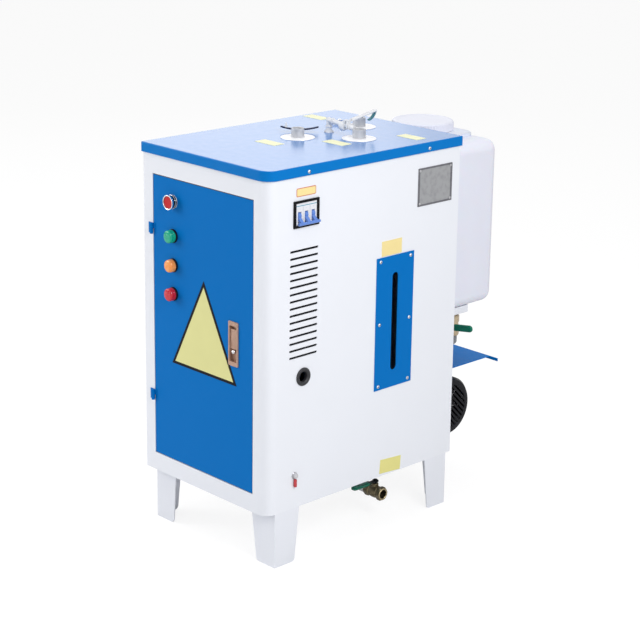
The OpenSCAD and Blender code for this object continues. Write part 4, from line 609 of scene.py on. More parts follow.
class BOILER_OT_stage(bpy.types.Operator):
    """Sets the camera, the floor, the world and the lamps"""
    bl_idname = "boiler.stage"
    bl_label = "Stage"

    def execute(self, context):
        scene = context.scene
        # The photograph's camera, as fitted to the edges of the cabinet and its plates
        cam = bpy.data.cameras.new("Camera")
        cam.lens, cam.sensor_width, cam.shift_x, cam.shift_y = 99.5235, 36, -0.0143105, -0.1041274
        cam.clip_end = 200
        eye = bpy.data.objects.new("Camera", cam)
        turn = Matrix(((0.694696, 0.719139, 0.015379), (-0.198877, 0.171482, 0.964905),
                       (0.691264, -0.673374, 0.262148))).transposed()
        eye.matrix_world = at(2.53823, -2.48963, 1.51311) @ turn.to_4x4()
        scene.collection.objects.link(eye)
        scene.camera = eye
        scene.view_settings.view_transform = "Standard"
        self.floor(scene)
        self.world(scene)
        for name, spot, target, size, watts in (
                ("key_lamp", (-2.6, -2.2, 1.7), (0, 0, 0.5), 2.0, 62),
                ("side_lamp", (1.9, -0.6, 1.8), (0.1, -0.2, 0.6), 1.0, 29),
                ("top_lamp", (-0.2, 0.6, 3.6), (0, 0, 0.8), 2.2, 22),
                ("sheen_lamp", (-3.2, 2.4, 1.9), (0, 0, 0.8), 1.8, 4.2)):
            lamp = bpy.data.lights.new(name, "AREA")
            lamp.shape, lamp.size, lamp.energy = "DISK", size, watts
            obj = bpy.data.objects.new(name, lamp)
            obj.matrix_world = looking(spot, (0.3, 1, 0.1), Vector(spot) - Vector(target))
            scene.collection.objects.link(obj)
        return {"FINISHED"}

    def floor(self, scene):
        """A pale floor that glows a little where the camera sees it, and keeps the boiler's shadow."""
        f = Finish("floor_paper", (0.82, 0.82, 0.82), 0.9)
        f.bump(f.noise(300, 2), 0.02)
        glow = f.node("ShaderNodeEmission", Color=(1, 1, 1, 1), Strength=1.12)
        seen = f.node("ShaderNodeLightPath") * 0.75
        f.plug(f.output.inputs["Surface"], f.node("ShaderNodeMixShader", **{"#0": seen, "#1": f.face, "#2": glow}))
        bm = bmesh.new()
        bmesh.ops.create_circle(bm, cap_ends=True, radius=30, segments=96)
        mesh = bpy.data.meshes.new("floor")
        bm.to_mesh(mesh)
        bm.free()
        mesh.materials.append(f.material)
        floor = bpy.data.objects.new("floor", mesh)
        scene.collection.objects.link(floor)

    def world(self, scene):
        """A white world, half as strong for the light that it gives as for what is seen of it."""
        scene.world = bpy.data.worlds.new("Studio")
        w = Nodes(scene.world)
        seen = w.node("ShaderNodeLightPath")
        path = seen.socket.node.outputs
        for kind in ("Is Glossy Ray", "Is Transmission Ray"):
            seen = seen.high(Wire(w, path[kind]))
        strength = w.node("ShaderNodeMapRange", Value=seen, To_Min=0.5, To_Max=1.0)
        w.node("ShaderNodeOutputWorld",
               Surface=w.node("ShaderNodeBackground", Color=(1, 1, 1, 1), Strength=strength))


# ---------------------------------------------------------------- pieces


def folded(radius, depth, sheet, face):
    """Profile of a sheet's edge, from its face over a fold of a radius to its back."""
    rim = radius + 1.6
    turn = [(radius - radius * math.sin(a), face - radius + radius * math.cos(a))
            for a in (math.pi / 12 * i for i in range(7))]
    return [(rim, face), (radius + 0.4, face), *turn,
            (0, face - depth), (sheet, face - depth), (sheet, face - sheet), (rim, face - sheet)]


def cabinet_outline(lap, rear):
    """Outline of the cabinet, grown by a lap, with its right front corner round."""
    def outline(inset):
        w, r, back = HALF_W + lap - inset, CORNER + lap - inset, DEPTH + rear - inset
        q = max(FOLD - inset, 0.3)
        return (arc((w - q, back - q), q, 0, 90, 3) + arc((q - w, back - q), q, 90, 180, 3)
                + arc((q - w, q + inset - lap), q, 180, 270, 3) + arc((w - r, r + inset - lap), r, 270, 360, 10))
    return outline


class BOILER_OT_cabinet(bpy.types.Operator):
    """Makes the cabinet's sheets, legs and hinges, with their edges rounded"""
    bl_idname = "boiler.cabinet"
    bl_label = "Cabinet"

    def execute(self, context):
        edge = context.scene.boiler_sizes.edge
        eased("cabinet_sheet", "front_frame", edge * 0.3, joined="side_and_back_sheets")
        eased("floor_sheet", "base_pan", edge * 0.3)
        eased("leg_set", "legs", edge * 0.7)
        eased("hinge_leaves", "hinge_brackets", edge * 0.3)
        return {"FINISHED"}


class BOILER_OT_lid(bpy.types.Operator):
    """Makes the lid, with its folded skirt and its holes"""
    bl_idname = "boiler.lid"
    bl_label = "Lid"

    def execute(self, context):
        places = [*((o, 13.6) for o in OUTLETS), *((c, 7.3) for c in COCKS), ((DRUM_X, DRUM_Y), 6.3)]
        holes = [[(x + p, y + q) for p, q in circle(r, 32)] for (x, y), r in places]
        form = Form()
        form.tray(cabinet_outline(3, 4.5), folded(2.2, LID_H, SHEET, LID_TOP), holes)
        form.finished("lid_sheet", "cabinet", "lid_blue", "top_lid", sharp=50)
        return {"FINISHED"}


class BOILER_OT_door(bpy.types.Operator):
    """Makes the door and the triangular plate on it"""
    bl_idname = "boiler.door"
    bl_label = "Door"

    def execute(self, context):
        eased("door_skin", "door_panel", context.scene.boiler_sizes.edge * 0.5, segments=3)
        form = Form(to_front(0.7, 0, 0))
        form.prism(self.triangle(0), 0, 0.42)
        form.paint = 1
        form.prism(self.triangle(6.0), 0.1, 0.6)
        form.finished("triangle_sign", "door", "plate_yellow", "triangle_plate",
                      paints=("plate_border", "plate_yellow"), bevel=0.08)
        return {"FINISHED"}

    def triangle(self, inset):
        """The plate's outline, moved in: three rounded corners, the right one cut where the latch stands."""
        half, foot, tip, corner = 98, 247.8, 439.2, 0.6
        latch_left, latch_foot = 75.5 - inset * 0.35, 287.5 - inset * 0.35
        slope = (tip - foot) / half
        low, top = foot + inset, tip - inset * math.hypot(slope, 1)
        w = (top - low) / slope
        corners = [Vector(p) for p in ((-w, low), (w, low), (0, top))]
        out = []
        for i, c in enumerate(corners):
            u, v = (corners[i - 1] - c).normalized(), (corners[(i + 1) % 3] - c).normalized()
            reach = corner / math.tan(u.angle(v) / 2)
            p, q = c + u * reach, c + v * reach
            out += [tuple((1 - t) ** 2 * p + 2 * t * (1 - t) * c + t * t * q) for t in (k / 6 for k in range(7))]
            if i == 1:
                out += [((top - latch_foot) / slope, latch_foot), (latch_left, latch_foot),
                        (latch_left, top - latch_left * slope)]
        return out


class BOILER_OT_controls(bpy.types.Operator):
    """Makes the start button and the three lamps on the door"""
    bl_idname = "boiler.controls"
    bl_label = "Controls"

    def execute(self, context):
        steps = context.scene.boiler_sizes.round_steps
        self.button(steps)
        bases = Form()
        for _, z, _ in LAMPS:
            bases.frame = to_front(CONTROL_X, 0, z)
            bases.ring([(9.3, 0), (14, 0), (14, 3.1), (13.5, 3.8), (12.9, 4), (9.3, 4)], steps)
            self.body(bases)
        bases.finished("lamp_bases", "door", "black_plastic", "lamp_bodies", bevel=0.2)
        for lamp in LAMPS:
            self.lens(*lamp)
        return {"FINISHED"}

    def body(self, form):
        """The body behind the door, with its switch block."""
        form.turned([(0, -31.5), (10.4, -31.5), (11, -30.8), (11, 0), (0, 0)], 36)
        form.block((-13.8, -13.8, -31.5), (13.8, 13.8, -13.6))
        for y in (-8, 8):
            form.turned([(0, -32.6), (2.6, -32.6), (2.6, -31), (0, -31)], 16, at(0, y, 0))

    def button(self, steps):
        place = to_front(CONTROL_X, 0, START_Z)
        form = Form(place)
        form.turned([(0, 0), (14, 0), (14, 0.9), (13.4, 1.5), (0, 1.5)], steps)
        form.ring([(12.7, 10), (15.0, 10), (15.0, 13.8), (14.4, 14.5), (13.6, 14.5), (12.7, 13.8)], steps)
        form.ring([(13.9, 4.4), (14.4, 4.7), (14.4, 5.4), (13.9, 5.7)], steps)
        form.paint = 1
        form.ring([(12.75, 1.5), (13.9, 1.5), (13.9, 10), (12.75, 10)], steps)
        self.body(form)
        form.finished("start_button_ring", "door", "chrome_trim", "start_button_housing",
                      paints=("chrome_trim", "black_plastic"), bevel=0.15)
        cap = Form(place)
        cap.turned([(0, -10.6), (4, -10.6), (4, 8.5), (12.4, 8.5), (12.4, 12.2), (11.9, 12.8), (11.2, 13),
                    (10.2, 12.9), (6, 12.4), (0, 12.2)], steps)
        cap.finished("start_button_disc", "start_button", "button_red", "start_button_cap")

    def lens(self, name, z, stepped):
        form = Form(to_front(CONTROL_X, 0, z))
        flutes, depth = 24, 0.014
        if stepped:
            crown = [(13, 8.3), (12.5, 9), (11.8, 9), (11.8, 10.5), (12.5, 10.5), (13, 11.1), (12.9, 13.2),
                     (12.2, 14.7), (10.8, 15.6), (8, 15.95)]
        else:
            crown = [(13, 10.6), (12.7, 12.7), (11.8, 14.3), (10, 15.4), (7, 15.9)]

        def fluted(r, a, h):
            return r * (1 - depth * (0.5 + 0.5 * math.cos(flutes * a)) if 4 < h < 14 else 1)
        form.turned([(0, -5.1), (9, -5.1), (9, 4), (12.6, 4), (13, 5), *crown, (0, 16)], 144, wave=fluted)
        form.finished(f"lens_{name}", "door", f"lens_{name}", f"lamp_lens_{name}", sharp=50)


class BOILER_OT_latch(bpy.types.Operator):
    """Makes the latch: its case, paddle, release button and bolt"""
    bl_idname = "boiler.latch"
    bl_label = "Latch"

    def execute(self, context):
        eased("latch_case", "latch_housing", 0.45, segments=3)
        eased("latch_flap", "latch_paddle", 0.35)
        eased("latch_release_knob", "latch_button", 0.3)
        eased("latch_tongue", "latch_bolt", 0.5)
        return {"FINISHED"}


class BOILER_OT_side_plates(bpy.types.Operator):
    """Makes the labels and the name plate, all bare"""
    bl_idname = "boiler.side_plates"
    bl_label = "Plates and labels"

    def execute(self, context):
        askew = Matrix.Rotation(-0.077, 4, "Z")
        form = Form(on_side(BREAKER[0], 637.4))
        form.prism(rounded(50.6, 16.7, 3), 0, 0.4)
        form.paint = 1
        form.prism(rounded(47.6, 13.7, 1.8), 0.1, 0.5)
        for paint, place, (w, h) in (
                (1, on_side(335, 486.7), (57.2, 31)),
                (2, on_side(346, 19) @ askew, (61, 30)),
                # The labels on the lid take the paler cream: painted reflection.
                *((3, at(DRUM_X + p * DRUM_R, DRUM_Y + q * DRUM_R, LID_TOP), (58, 28))
                  for p, q in ((0.02, -1.33), (0.71, -0.51), (-1.06, 0.73), (1.16, 0.74)))):
            form.paint, form.frame = paint, place
            form.prism(rounded(w, h, 0.6), 0, 0.5)
        form.finished("labels", "cabinet", "label_cream", "label_plates",
                      paints=("label_border", "label_cream", "label_lemon", "label_painted_reflection"), bevel=0.08)
        plate = Form(on_side(*NAME_PLATE))
        plate.prism(rounded(100.9, 78.9, 2), 0, 0.6)
        plate.paint = 1
        plate.prism(rounded(100.7, 78.7, 1.9), 0.3, 1.2, [rounded(91, 71.5, 1.5)])
        plate.finished("name_plate_blank", "cabinet", "plate_aluminium", "name_plate",
                       paints=("plate_aluminium", "plate_rim"), bevel=0.12)
        return {"FINISHED"}


class BOILER_OT_breaker(bpy.types.Operator):
    """Makes the breaker, its frame and its bar"""
    bl_idname = "boiler.breaker"
    bl_label = "Breaker"

    def execute(self, context):
        eased("breaker_surround", "breaker_frame", 0.5)
        eased("breaker_case", "breaker_body", 0.3)
        eased("breaker_bar", "breaker_toggle", 0.35)
        pole = 17.8
        form = Form(on_side(*BREAKER))
        form.block((-26, 15.4, 1.4), (26, 16.8, 1.55))
        for x in (-pole, 0, pole):
            form.paint = 2
            form.block((x - 4.5, 4.7, 1.1), (x + 4.5, 10.9, 1.7))
            form.paint = 1
            for y in (9.6, -18.6):
                form.turned([(0, 1.4), (1.5, 1.4), (1.5, 1.58), (0, 1.58)], 16, at(x, y, 0))
            form.block((x - 9.05, -21, 1.4), (x - 8.75, 14, 1.56))
        form.finished("breaker_marks", "cabinet", "breaker_white",
                      paints=("stripe_teal", "black_plastic", "breaker_white"))
        return {"FINISHED"}


class BOILER_OT_shade_fills(bpy.types.Operator):
    """Makes a black strip in the gap over the door and a black sheet behind the louvres, painted shade for the gap and
    the slots
    """
    bl_idname = "boiler.linings"
    bl_label = "Gap_shade and screen"

    def execute(self, context):
        # A black strip in the gap over the door: painted shade that darkens the gap.
        gap_shade = Form(at(-4.5, 0, 627.5))
        gap_shade.block((-147, 0.6, -0.8), (147, 1.4, 0.8))
        gap_shade.turned([(0, -147), (0.7, -147), (0.8, -146.6), (0.8, 146.6), (0.7, 147), (0, 147)], 12,
                    to_right(0, 1.1, 0))
        gap_shade.finished("door_gap_shade", "cabinet", "grommet_rubber")
        # A black sheet behind the louvres, with a small round boss at each corner: painted shade that darkens the
        # slots.
        y, z, back = *LOUVRES, -SHEET - 0.2
        shade_sheet = Form(on_side(y, z, back))
        shade_sheet.prism(rounded(82, 226, 4), -1.2, 0)
        for i, j in CORNERS:
            shade_sheet.frame = on_side(y + i * 38, z + j * 109, back)
            shade_sheet.turned([(0, -2), (1.6, -2), (2, -1.2), (0, -1.2)], 16)
        shade_sheet.finished("louvre_shade_sheet", "cabinet", "black_plastic")
        return {"FINISHED"}


class BOILER_OT_side_fittings(bpy.types.Operator):
    """Makes the cable grommet, the earth screw and the panel screws on the sides"""
    bl_idname = "boiler.side_fittings"
    bl_label = "Side fittings"

    def execute(self, context):
        form = Form(on_side(95.5, 268.7))
        form.ring([(10, -5), (16.6, -5), (17, -4.6), (17, -1.9), (16.6, -1.5), (13.7, -1.5), (13.7, 0), (18.2, 0),
                   (18.5, 0.4), (18.4, 1.2), (17.6, 2.4), (16.4, 3.2), (14.8, 3.5), (13.4, 3.3), (12.2, 2.6),
                   (10.6, 0.9), (10, 0)], 64)
        form.finished("grommet_ring", "cabinet", "grommet_rubber", "cable_grommet", sharp=50)
        self.earth()
        self.screws()
        return {"FINISHED"}

    def earth(self):
        bolt = Form(on_side(*EARTH))
        bolt.turned([(0, -16), (3.4, -16), (4, -15.4), (4, 1.2), (0, 1.2)], 24)
        bolt.turned([(0, 1.2), (6.4, 1.2), (6.4, 2), (6, 2.3), (0, 2.3)], 36)
        bolt.hexagon(10, 2.3, 6.4, 0.6)
        bolt.hexagon(13, -6.8, -1.5, 0.7)
        bolt.finished("earth_bolt", "cabinet", "bright_steel", "earth_screw", bevel=0.2)
        lug = Form(on_side(*EARTH))
        lug.ring([(4.3, 0), (7, 0), (7, 1.2), (4.3, 1.2)], 36)
        lug.block((-1.7, -10.4, 0), (1.7, -5.3, 1.2))
        lug.paint = 1
        lug.turned([(0, 0), (2.5, 0), (2.9, 0.5), (3.1, 3), (3.35, 8), (3.4, 13.6), (3.1, 15.4), (2.5, 15.9),
                    (1.9, 15.9), (1.9, 14), (0, 14)], 28, to_front(0, -7.6, 3.45))
        lug.finished("earth_lug", "cabinet", "sleeve_red", "earth_terminal", paints=("bright_steel", "sleeve_red"),
                     bevel=0.15)

    def screws(self):
        """The screws of the lid and the gauge plate, cross-headed, and the rivets of the name plate."""
        form = Form()
        places = []
        for y in (102, 435):
            places += [on_side(y, 675, 3), looking((-HALF_W - 3, y, 675), (0, -1, 0), (-1, 0, 0))]
        y, z = GAUGE_PLATE
        places += [on_side(y + i * 43, z + j * 131, SHEET) for i in (-1, 1) for j in (-1, 0, 1)]
        for k, place in enumerate(places):
            form.frame = place
            form.paint = 0
            form.turned([(0, -4.4), (1.7, -4.4), (2, -4), (2, 0), (3.6, 0), (3.6, 0.5), (3.2, 1.25), (2.3, 1.85),
                         (1.2, 2.12), (0, 2.18)], 28)
            # The cross of each screw head: two black blocks on the dome, painted shade where the recess would be.
            form.paint = 1
            turn = Matrix.Rotation(0.5 + 1.3 * k, 4, "Z")
            for p, q in ((1.7, 0.28), (0.28, 1.7)):
                form.block((-p, -q, 1.5), (p, q, 2.2), turn)
        form.paint = 0
        y, z = NAME_PLATE
        for i, j in CORNERS:
            form.frame = on_side(y + i * 44.95, z + j * 33.95, 1.2)
            form.turned([(0, -2.7), (1.5, -2.7), (1.5, 0), (2.6, 0), (2.5, 0.35), (1.7, 0.7), (0, 0.85)], 20)
        form.finished("side_screws", "cabinet", "bright_steel", "panel_screws",
                      paints=("bright_steel", "black_plastic"))


def thread(turns, top, pitch):
    """Profile of the thread inside a fitting."""
    return [(9.3 + 0.7 * (i % 2), top - pitch * i) for i in range(turns)]


class BOILER_OT_outlets(bpy.types.Operator):
    """Makes the three steam outlets on the lid, with their escutcheons and threads"""
    bl_idname = "boiler.outlets"
    bl_label = "Steam outlets"

    def execute(self, context):
        steps = context.scene.boiler_sizes.round_steps
        discs, sockets = Form(), Form()
        for x, y in OUTLETS:
            discs.frame = sockets.frame = at(x, y, LID_TOP)
            discs.ring([(13.6, 0), (34.6, 0), (35, 0.4), (34.8, 0.9), (33.8, 1.2), (24, 1.6), (17.5, 1.9), (16, 2),
                        (13.6, 2)], 72)
            sockets.ring([(10.7, -14), (12.7, -14), (13.3, -13.4), (13.3, 18.9), (12.9, 19.7), (12.2, 20), (10.9, 20),
                          (10.1, 19.6), *thread(19, 18.6, 1.15), (9.3, -2.7), (10.7, -2.9)], steps)
        discs.finished("escutcheon_discs", "cabinet", "escutcheon_steel", "outlet_escutcheons", sharp=50)
        sockets.finished("outlet_couplings", "cabinet", "socket_steel", "outlet_sockets", sharp=40)
        return {"FINISHED"}


class BOILER_OT_wing_handles(bpy.types.Operator):
    """Makes the wing handles of the two vent cocks"""
    bl_idname = "boiler.wing_handles"
    bl_label = "Wing handles"

    def execute(self, context):
        self.handle("front_wing", COCKS[0], 40, 46, "handle_navy", False)
        self.handle("rear_wing", COCKS[1], 29, 30, "handle_blue", True)
        return {"FINISHED"}

    def handle(self, name, place, half, turn, colour, eyelet):
        """A sagging strip, tapered at its ends, with a hub and a nut; the left end has an eyelet or an upright tab."""
        form = Form(at(*place, LID_TOP) @ Matrix.Rotation(math.radians(turn), 4, "Z"))
        sag, thick, wide = 6, 2.4, 10
        bend = (half * half + sag * sag) / (2 * sag)
        left = 10 - half if eyelet else 1 - half
        xs = [left + (half - 1 - left) * i / 28 for i in range(29)]

        def low(x):
            return 4 + bend - math.sqrt(bend * bend - x * x)

        def width(x):
            end = half - 1 - abs(x) if x > 0 or not eyelet else 10
            return min(1.0, 0.45 + 0.55 * math.sqrt(max(end, 0) / 4)) if end < 4 else 1.0
        form.swept([(x, 0, low(x) + thick / 2) for x in xs], rounded(wide, thick, 1.1, 3), [(width(x), 1) for x in xs])
        if eyelet:
            tilt = looking((5 - half, 0, low(half - 5) + thick / 2), (1, 0, -0.16), (0.16, 0, 1))
            form.ring([(3.1, -1.2), (5, -1.2), (5.2, -0.9), (5.2, 0.9), (5, 1.2), (3.1, 1.2)], 28, tilt)
        form.turned([(0, 3), (6.2, 3), (6.5, 3.4), (6.5, 6), (6.2, 6.4), (0, 6.4)], 36)
        form.paint = 1
        form.hexagon(9, 6.35, 8.75, 0.5)
        form.turned([(0, -23), (2.6, -23), (3, -22.5), (3, 9.4), (2.5, 10), (0, 10)], 24)
        paints = [colour, "chrome_trim"]
        if not eyelet:
            form.paint = 2
            tab = [(-30, 7.4), (-25, 7.4), (-25, 15.6), (-26.2, 18.8), (-27.5, 20), (-28.8, 18.8), (-30, 15.6)]
            form.prism(tab, -1.2, 1.2, frame=to_front(0, 0, 0))
            paints.append("tab_white")
        form.finished(name + "_grip", name, colour, name + "_handle", paints=paints, bevel=0.25)


class BOILER_OT_relief(bpy.types.Operator):
    """Makes the relief valve on the lid and its lever"""
    bl_idname = "boiler.relief"
    bl_label = "Relief valve"

    def execute(self, context):
        eased("relief_body", "relief_valve", 0.5, segments=3, sharp=30)
        form = Form(at(DRUM_X, DRUM_Y, LID_TOP))
        form.ring([(5.2, 10.4), (6.9, 10.4), (7.4, 10.9), (7.4, 13.1), (6.9, 13.6), (5.2, 13.6)], 32)
        droop = 0.0808
        arm = looking((0, 0, 25), (0, 1, 0), (math.cos(droop), 0, -math.sin(droop)))
        for a, r in ((9, 6.6), (11.5, 6.6), (56.5, 6.9), (61.5, 6.2)):
            form.ring([(4.6, a), (r - 0.4, a), (r, a + 0.4), (r, a + 1.4), (r - 0.4, a + 1.8), (4.6, a + 1.8)], 32, arm)
        form.finished("relief_collars", "cabinet", "relief_white")
        self.lever()
        return {"FINISHED"}

    def lever(self):
        pivot = at(37, DRUM_Y, LID_TOP + 29)
        form = Form(pivot)
        form.turned([(0, -5), (1.25, -5), (1.25, 5), (0, 5)], 20, to_right(0, 0, 0))
        form.frame = pivot @ Matrix.Rotation(math.radians(10), 4, "X")
        form.block((-1.7, -2.4, -1.75), (1.7, 15, 1.75))
        root, length, grip_r, grip_turn = 10, 76, 24.5, 68
        ys = [root + length * i / 24 for i in range(25)]

        def width(y):
            if y < 16:
                return 0.55 + 0.45 * (y - root) / 6
            return math.sqrt(max(1 - max(y - 80, 0) ** 2 / 36.2, 0.02))
        form.swept([(0, y, 0) for y in ys], rounded(12, 3.5, 1.5, 4), [(width(y), 1) for y in ys])
        form.swept([(0, y, 1.5) for y in (22, 26, 40, 60, 70, 74)], rounded(3.4, 1.6, 0.7, 3),
                   [(0.3, 0.3), *[(1, 1)] * 4, (0.3, 0.3)])
        form.paint = 1
        curl = [(0, 60 + grip_r * math.sin(a), 10 - grip_r * math.cos(a))
                for a in (math.radians(grip_turn * i / 24) for i in range(25))]
        form.swept(curl, rounded(8, 3, 1.2, 4), [(0.7, 0.7), *[(1, 1)] * 24])
        form.finished("relief_grip", "relief_lever", "relief_white", "relief_lever",
                      paints=("relief_white", "grip_teal"), bevel=0.3)


class BOILER_OT_drain(bpy.types.Operator):
    """Makes the drain pipe, its valve and its lever"""
    bl_idname = "boiler.drain"
    bl_label = "Drain"

    def execute(self, context):
        steps = context.scene.boiler_sizes.round_steps
        pipe = Form(at(DRUM_X, DRUM_Y, 0))
        pipe.ring([(10.7, 29), (13.4, 29), (14, 29.6), (14, 51.2), (13.4, 51.9), (10.7, 51.9)], steps)
        pipe.turned([(0, -60), (8, -60), (10.65, -58), (10.65, 41), (8, 41), (0, 40.9)], steps)
        r = 14
        bend = [(r - r * math.cos(a), 0, DRAIN_Z + r - r * math.sin(a)) for a in (math.pi / 20 * i for i in range(11))]
        pipe.swept([(0, 0, -30), *bend, (26, 0, DRAIN_Z)], circle(13.2, 28), up=(0, 1, 0))
        along = to_right(0, 0, DRAIN_Z)
        pipe.ring([(9, 23.5), (13.6, 23.5), (14, 24), (14, 27.6), (13.6, 28), (9, 28)], steps, along)
        for z in (-31, -28):
            pipe.ring([(9, z), (13.9, z), (13.9, z + 2), (9, z + 2)], steps)
        pipe.turned([(0, 25.5), (10.65, 25.5), (10.65, 132), (0, 132)], steps, along)
        pipe.paint = 1
        for z in (128.6 - 1.9 * i for i in range(5)):
            pipe.ring([(10, z), (10.66, z), (11.05, z + 0.7), (10.66, z + 1.6), (10, z + 1.6)], steps, along)
        pipe.finished("drain_line", "cabinet", "pipe_grey", "drain_pipe", paints=("pipe_grey", "bright_steel"),
                      bevel=0.3)
        self.valve(steps)
        lever = Form(looking(DRAIN_LEVER, (0, -1, 0), (0, 0, 1)))
        valve_lever(lever, 68)
        lever.finished("drain_lever_sleeve", "drain_lever", "sleeve_green", "drain_lever",
                       paints=("sleeve_green", "black_plastic", "black_plastic", "sleeve_root_shade"), bevel=0.25)
        return {"FINISHED"}

    def valve(self, steps):
        """The valve's body along X, from its nipple to its open mouth."""
        form = Form(to_right(DRAIN_VALVE_X, DRUM_Y, DRAIN_Z))
        form.hexagon(24.9, 0, 12, 1.1, bore=10.7)
        form.turned([(0, 11), (10.9, 11), (11.3, 12.4), (12.2, 15), (13.1, 19.5), (13.25, 24), (13.1, 28.5),
                     (12.2, 33), (11.6, 35.5), (0, 35.5)], steps)
        form.hexagon(26.4, 36, 47, 1.2, bore=9.4)
        form.turned([(0, 5.5), (6.2, 5.5), (7, 6.5), (7, 17.8), (6.4, 18.5), (0, 18.5)], 36,
                    looking((0, 0, 24), (1, 0, 0), (0, 1, 0)))
        form.paint = 1
        form.ring([(9.6, 46.6), (12.4, 46.6), (12.4, 47.2), (11.4, 48), (10.3, 48), (9.6, 47.3)], steps)
        for z, r in ((12.2, 11.9), (34.2, 12.4)):
            form.ring([(9, z), (r, z), (r + 0.3, z + 0.4), (r, z + 1.1), (9, z + 1.1)], steps)
        # The thread inside the mouth and the floor of the bore are near-black bronze: painted shade inside the bore.
        form.paint = 2
        form.ring([*thread(9, 46.5, 1.1), (10.5, 36.5), (10.5, 46.5)], steps)
        form.turned([(0, 36), (9.6, 36), (9.6, 36.5), (6.5, 36.6), (6, 34), (0, 33)], 32)
        form.finished("drain_valve_body", "cabinet", "valve_bronze", "drain_valve",
                      paints=("valve_bronze", "bronze_bright", "bronze_bore_shade"), bevel=0.25)


def valve_lever(form, length):
    """A valve's lever along X from its spindle, its plate's underside at 0: a tang in a vinyl sleeve, and a nut."""
    form.paint = 1
    form.turned([(0, 0), (7, 0), (7, 2.4), (0, 2.4)], 28)
    form.block((0, -4.5, 0.02), (24, 4.5, 2.38))
    form.paint = 2
    form.turned([(0, -13), (3, -13), (3, 4.9), (2.6, 5.6), (0, 5.6)], 24)
    form.hexagon(9, 2.4, 4.8, 0.4)
    form.paint = 0
    xs = [18.5 + (length - 18.7) * i / 30 for i in range(31)]

    def size(x):
        root = min(1, 0.72 + 0.28 * (x - 18.5) / 9)
        tip = math.sqrt(max(1 - max(x - length + 7.5, 0) ** 2 / 57, 0.03))
        return root * tip, min(root, tip ** 0.5)
    form.swept([(x, 0, 1.2) for x in xs], rounded(15, 7, 3.1, 5), [size(x) for x in xs])
    # The collar at the sleeve's root, in a darker copy of the vinyl: painted shade at the lever's root.
    form.paint = 3
    collar = ((16.6, 0.86), (17.2, 0.96), (20, 1), (22.6, 1), (23, 0.94))
    form.swept([(x, 0, 1.2) for x, _ in collar], rounded(12.6, 6.2, 2.6, 5), [(k, k) for _, k in collar])


class BOILER_OT_tank(bpy.types.Operator):
    """Makes the water tank, its cap and its shelf"""
    bl_idname = "boiler.tank"
    bl_label = "Water tank"

    def execute(self, context):
        sizes = context.scene.boiler_sizes
        tank = Form(at(0, TANK_Y, 0))
        tank.round_block((-150, -80, 297), (150, 80, 656), sizes.tank_edge, 8)
        step = rounded(190, 130, 24, 8)
        tank.prism(step, 650, 662.4)
        tank.prism([(x * 0.985, y * 0.98) for x, y in step], 662.4, 664)
        tank.ring([(58, 655), (62, 655), (62, 680.2), (61.2, 681), (58.8, 681), (58, 680.2)], 72)
        for z in (676 - 2.7 * i for i in range(4)):
            tank.ring([(61, z), (62, z), (62.9, z + 0.9), (62, z + 1.8), (61, z + 1.8)], 72)
        tank.finished("tank_body", "cabinet", "tank_plastic", "water_tank", bevel=0.7, sharp=50)
        self.cap(sizes.cap_ribs)
        eased("tank_bracket_shelf", "tank_shelf", sizes.edge * 0.7)
        return {"FINISHED"}

    def cap(self, ribs):
        form = Form(at(0, TANK_Y, 664.3))
        rise = 0.016

        def ribbed(r, a, z):
            return r * (1 + (rise * max(0, math.cos(ribs * a)) ** 1.5 if 0.5 < z < 16.5 else 0))
        form.turned([(62.9, 0), (65.2, 0), (65.5, 0.4), (65.5, 0.6), (65.5, 3), (65.5, 15.8), (65.5, 16.4),
                     (65.5, 17.4), (65.2, 18.5), (64.3, 19.4), (63, 19.9), (61, 20), (55, 19.9), (53.6, 19.4),
                     (52, 19.2), (0, 19.2)], ribs * 8, wave=ribbed)
        form.turned([(0, 16.8), (62.9, 16.8), (62.9, 0), (62.8, 0)], 72)
        form.finished("tank_cap_ribbed", "tank_cap", "cap_plastic", "tank_cap", sharp=60)


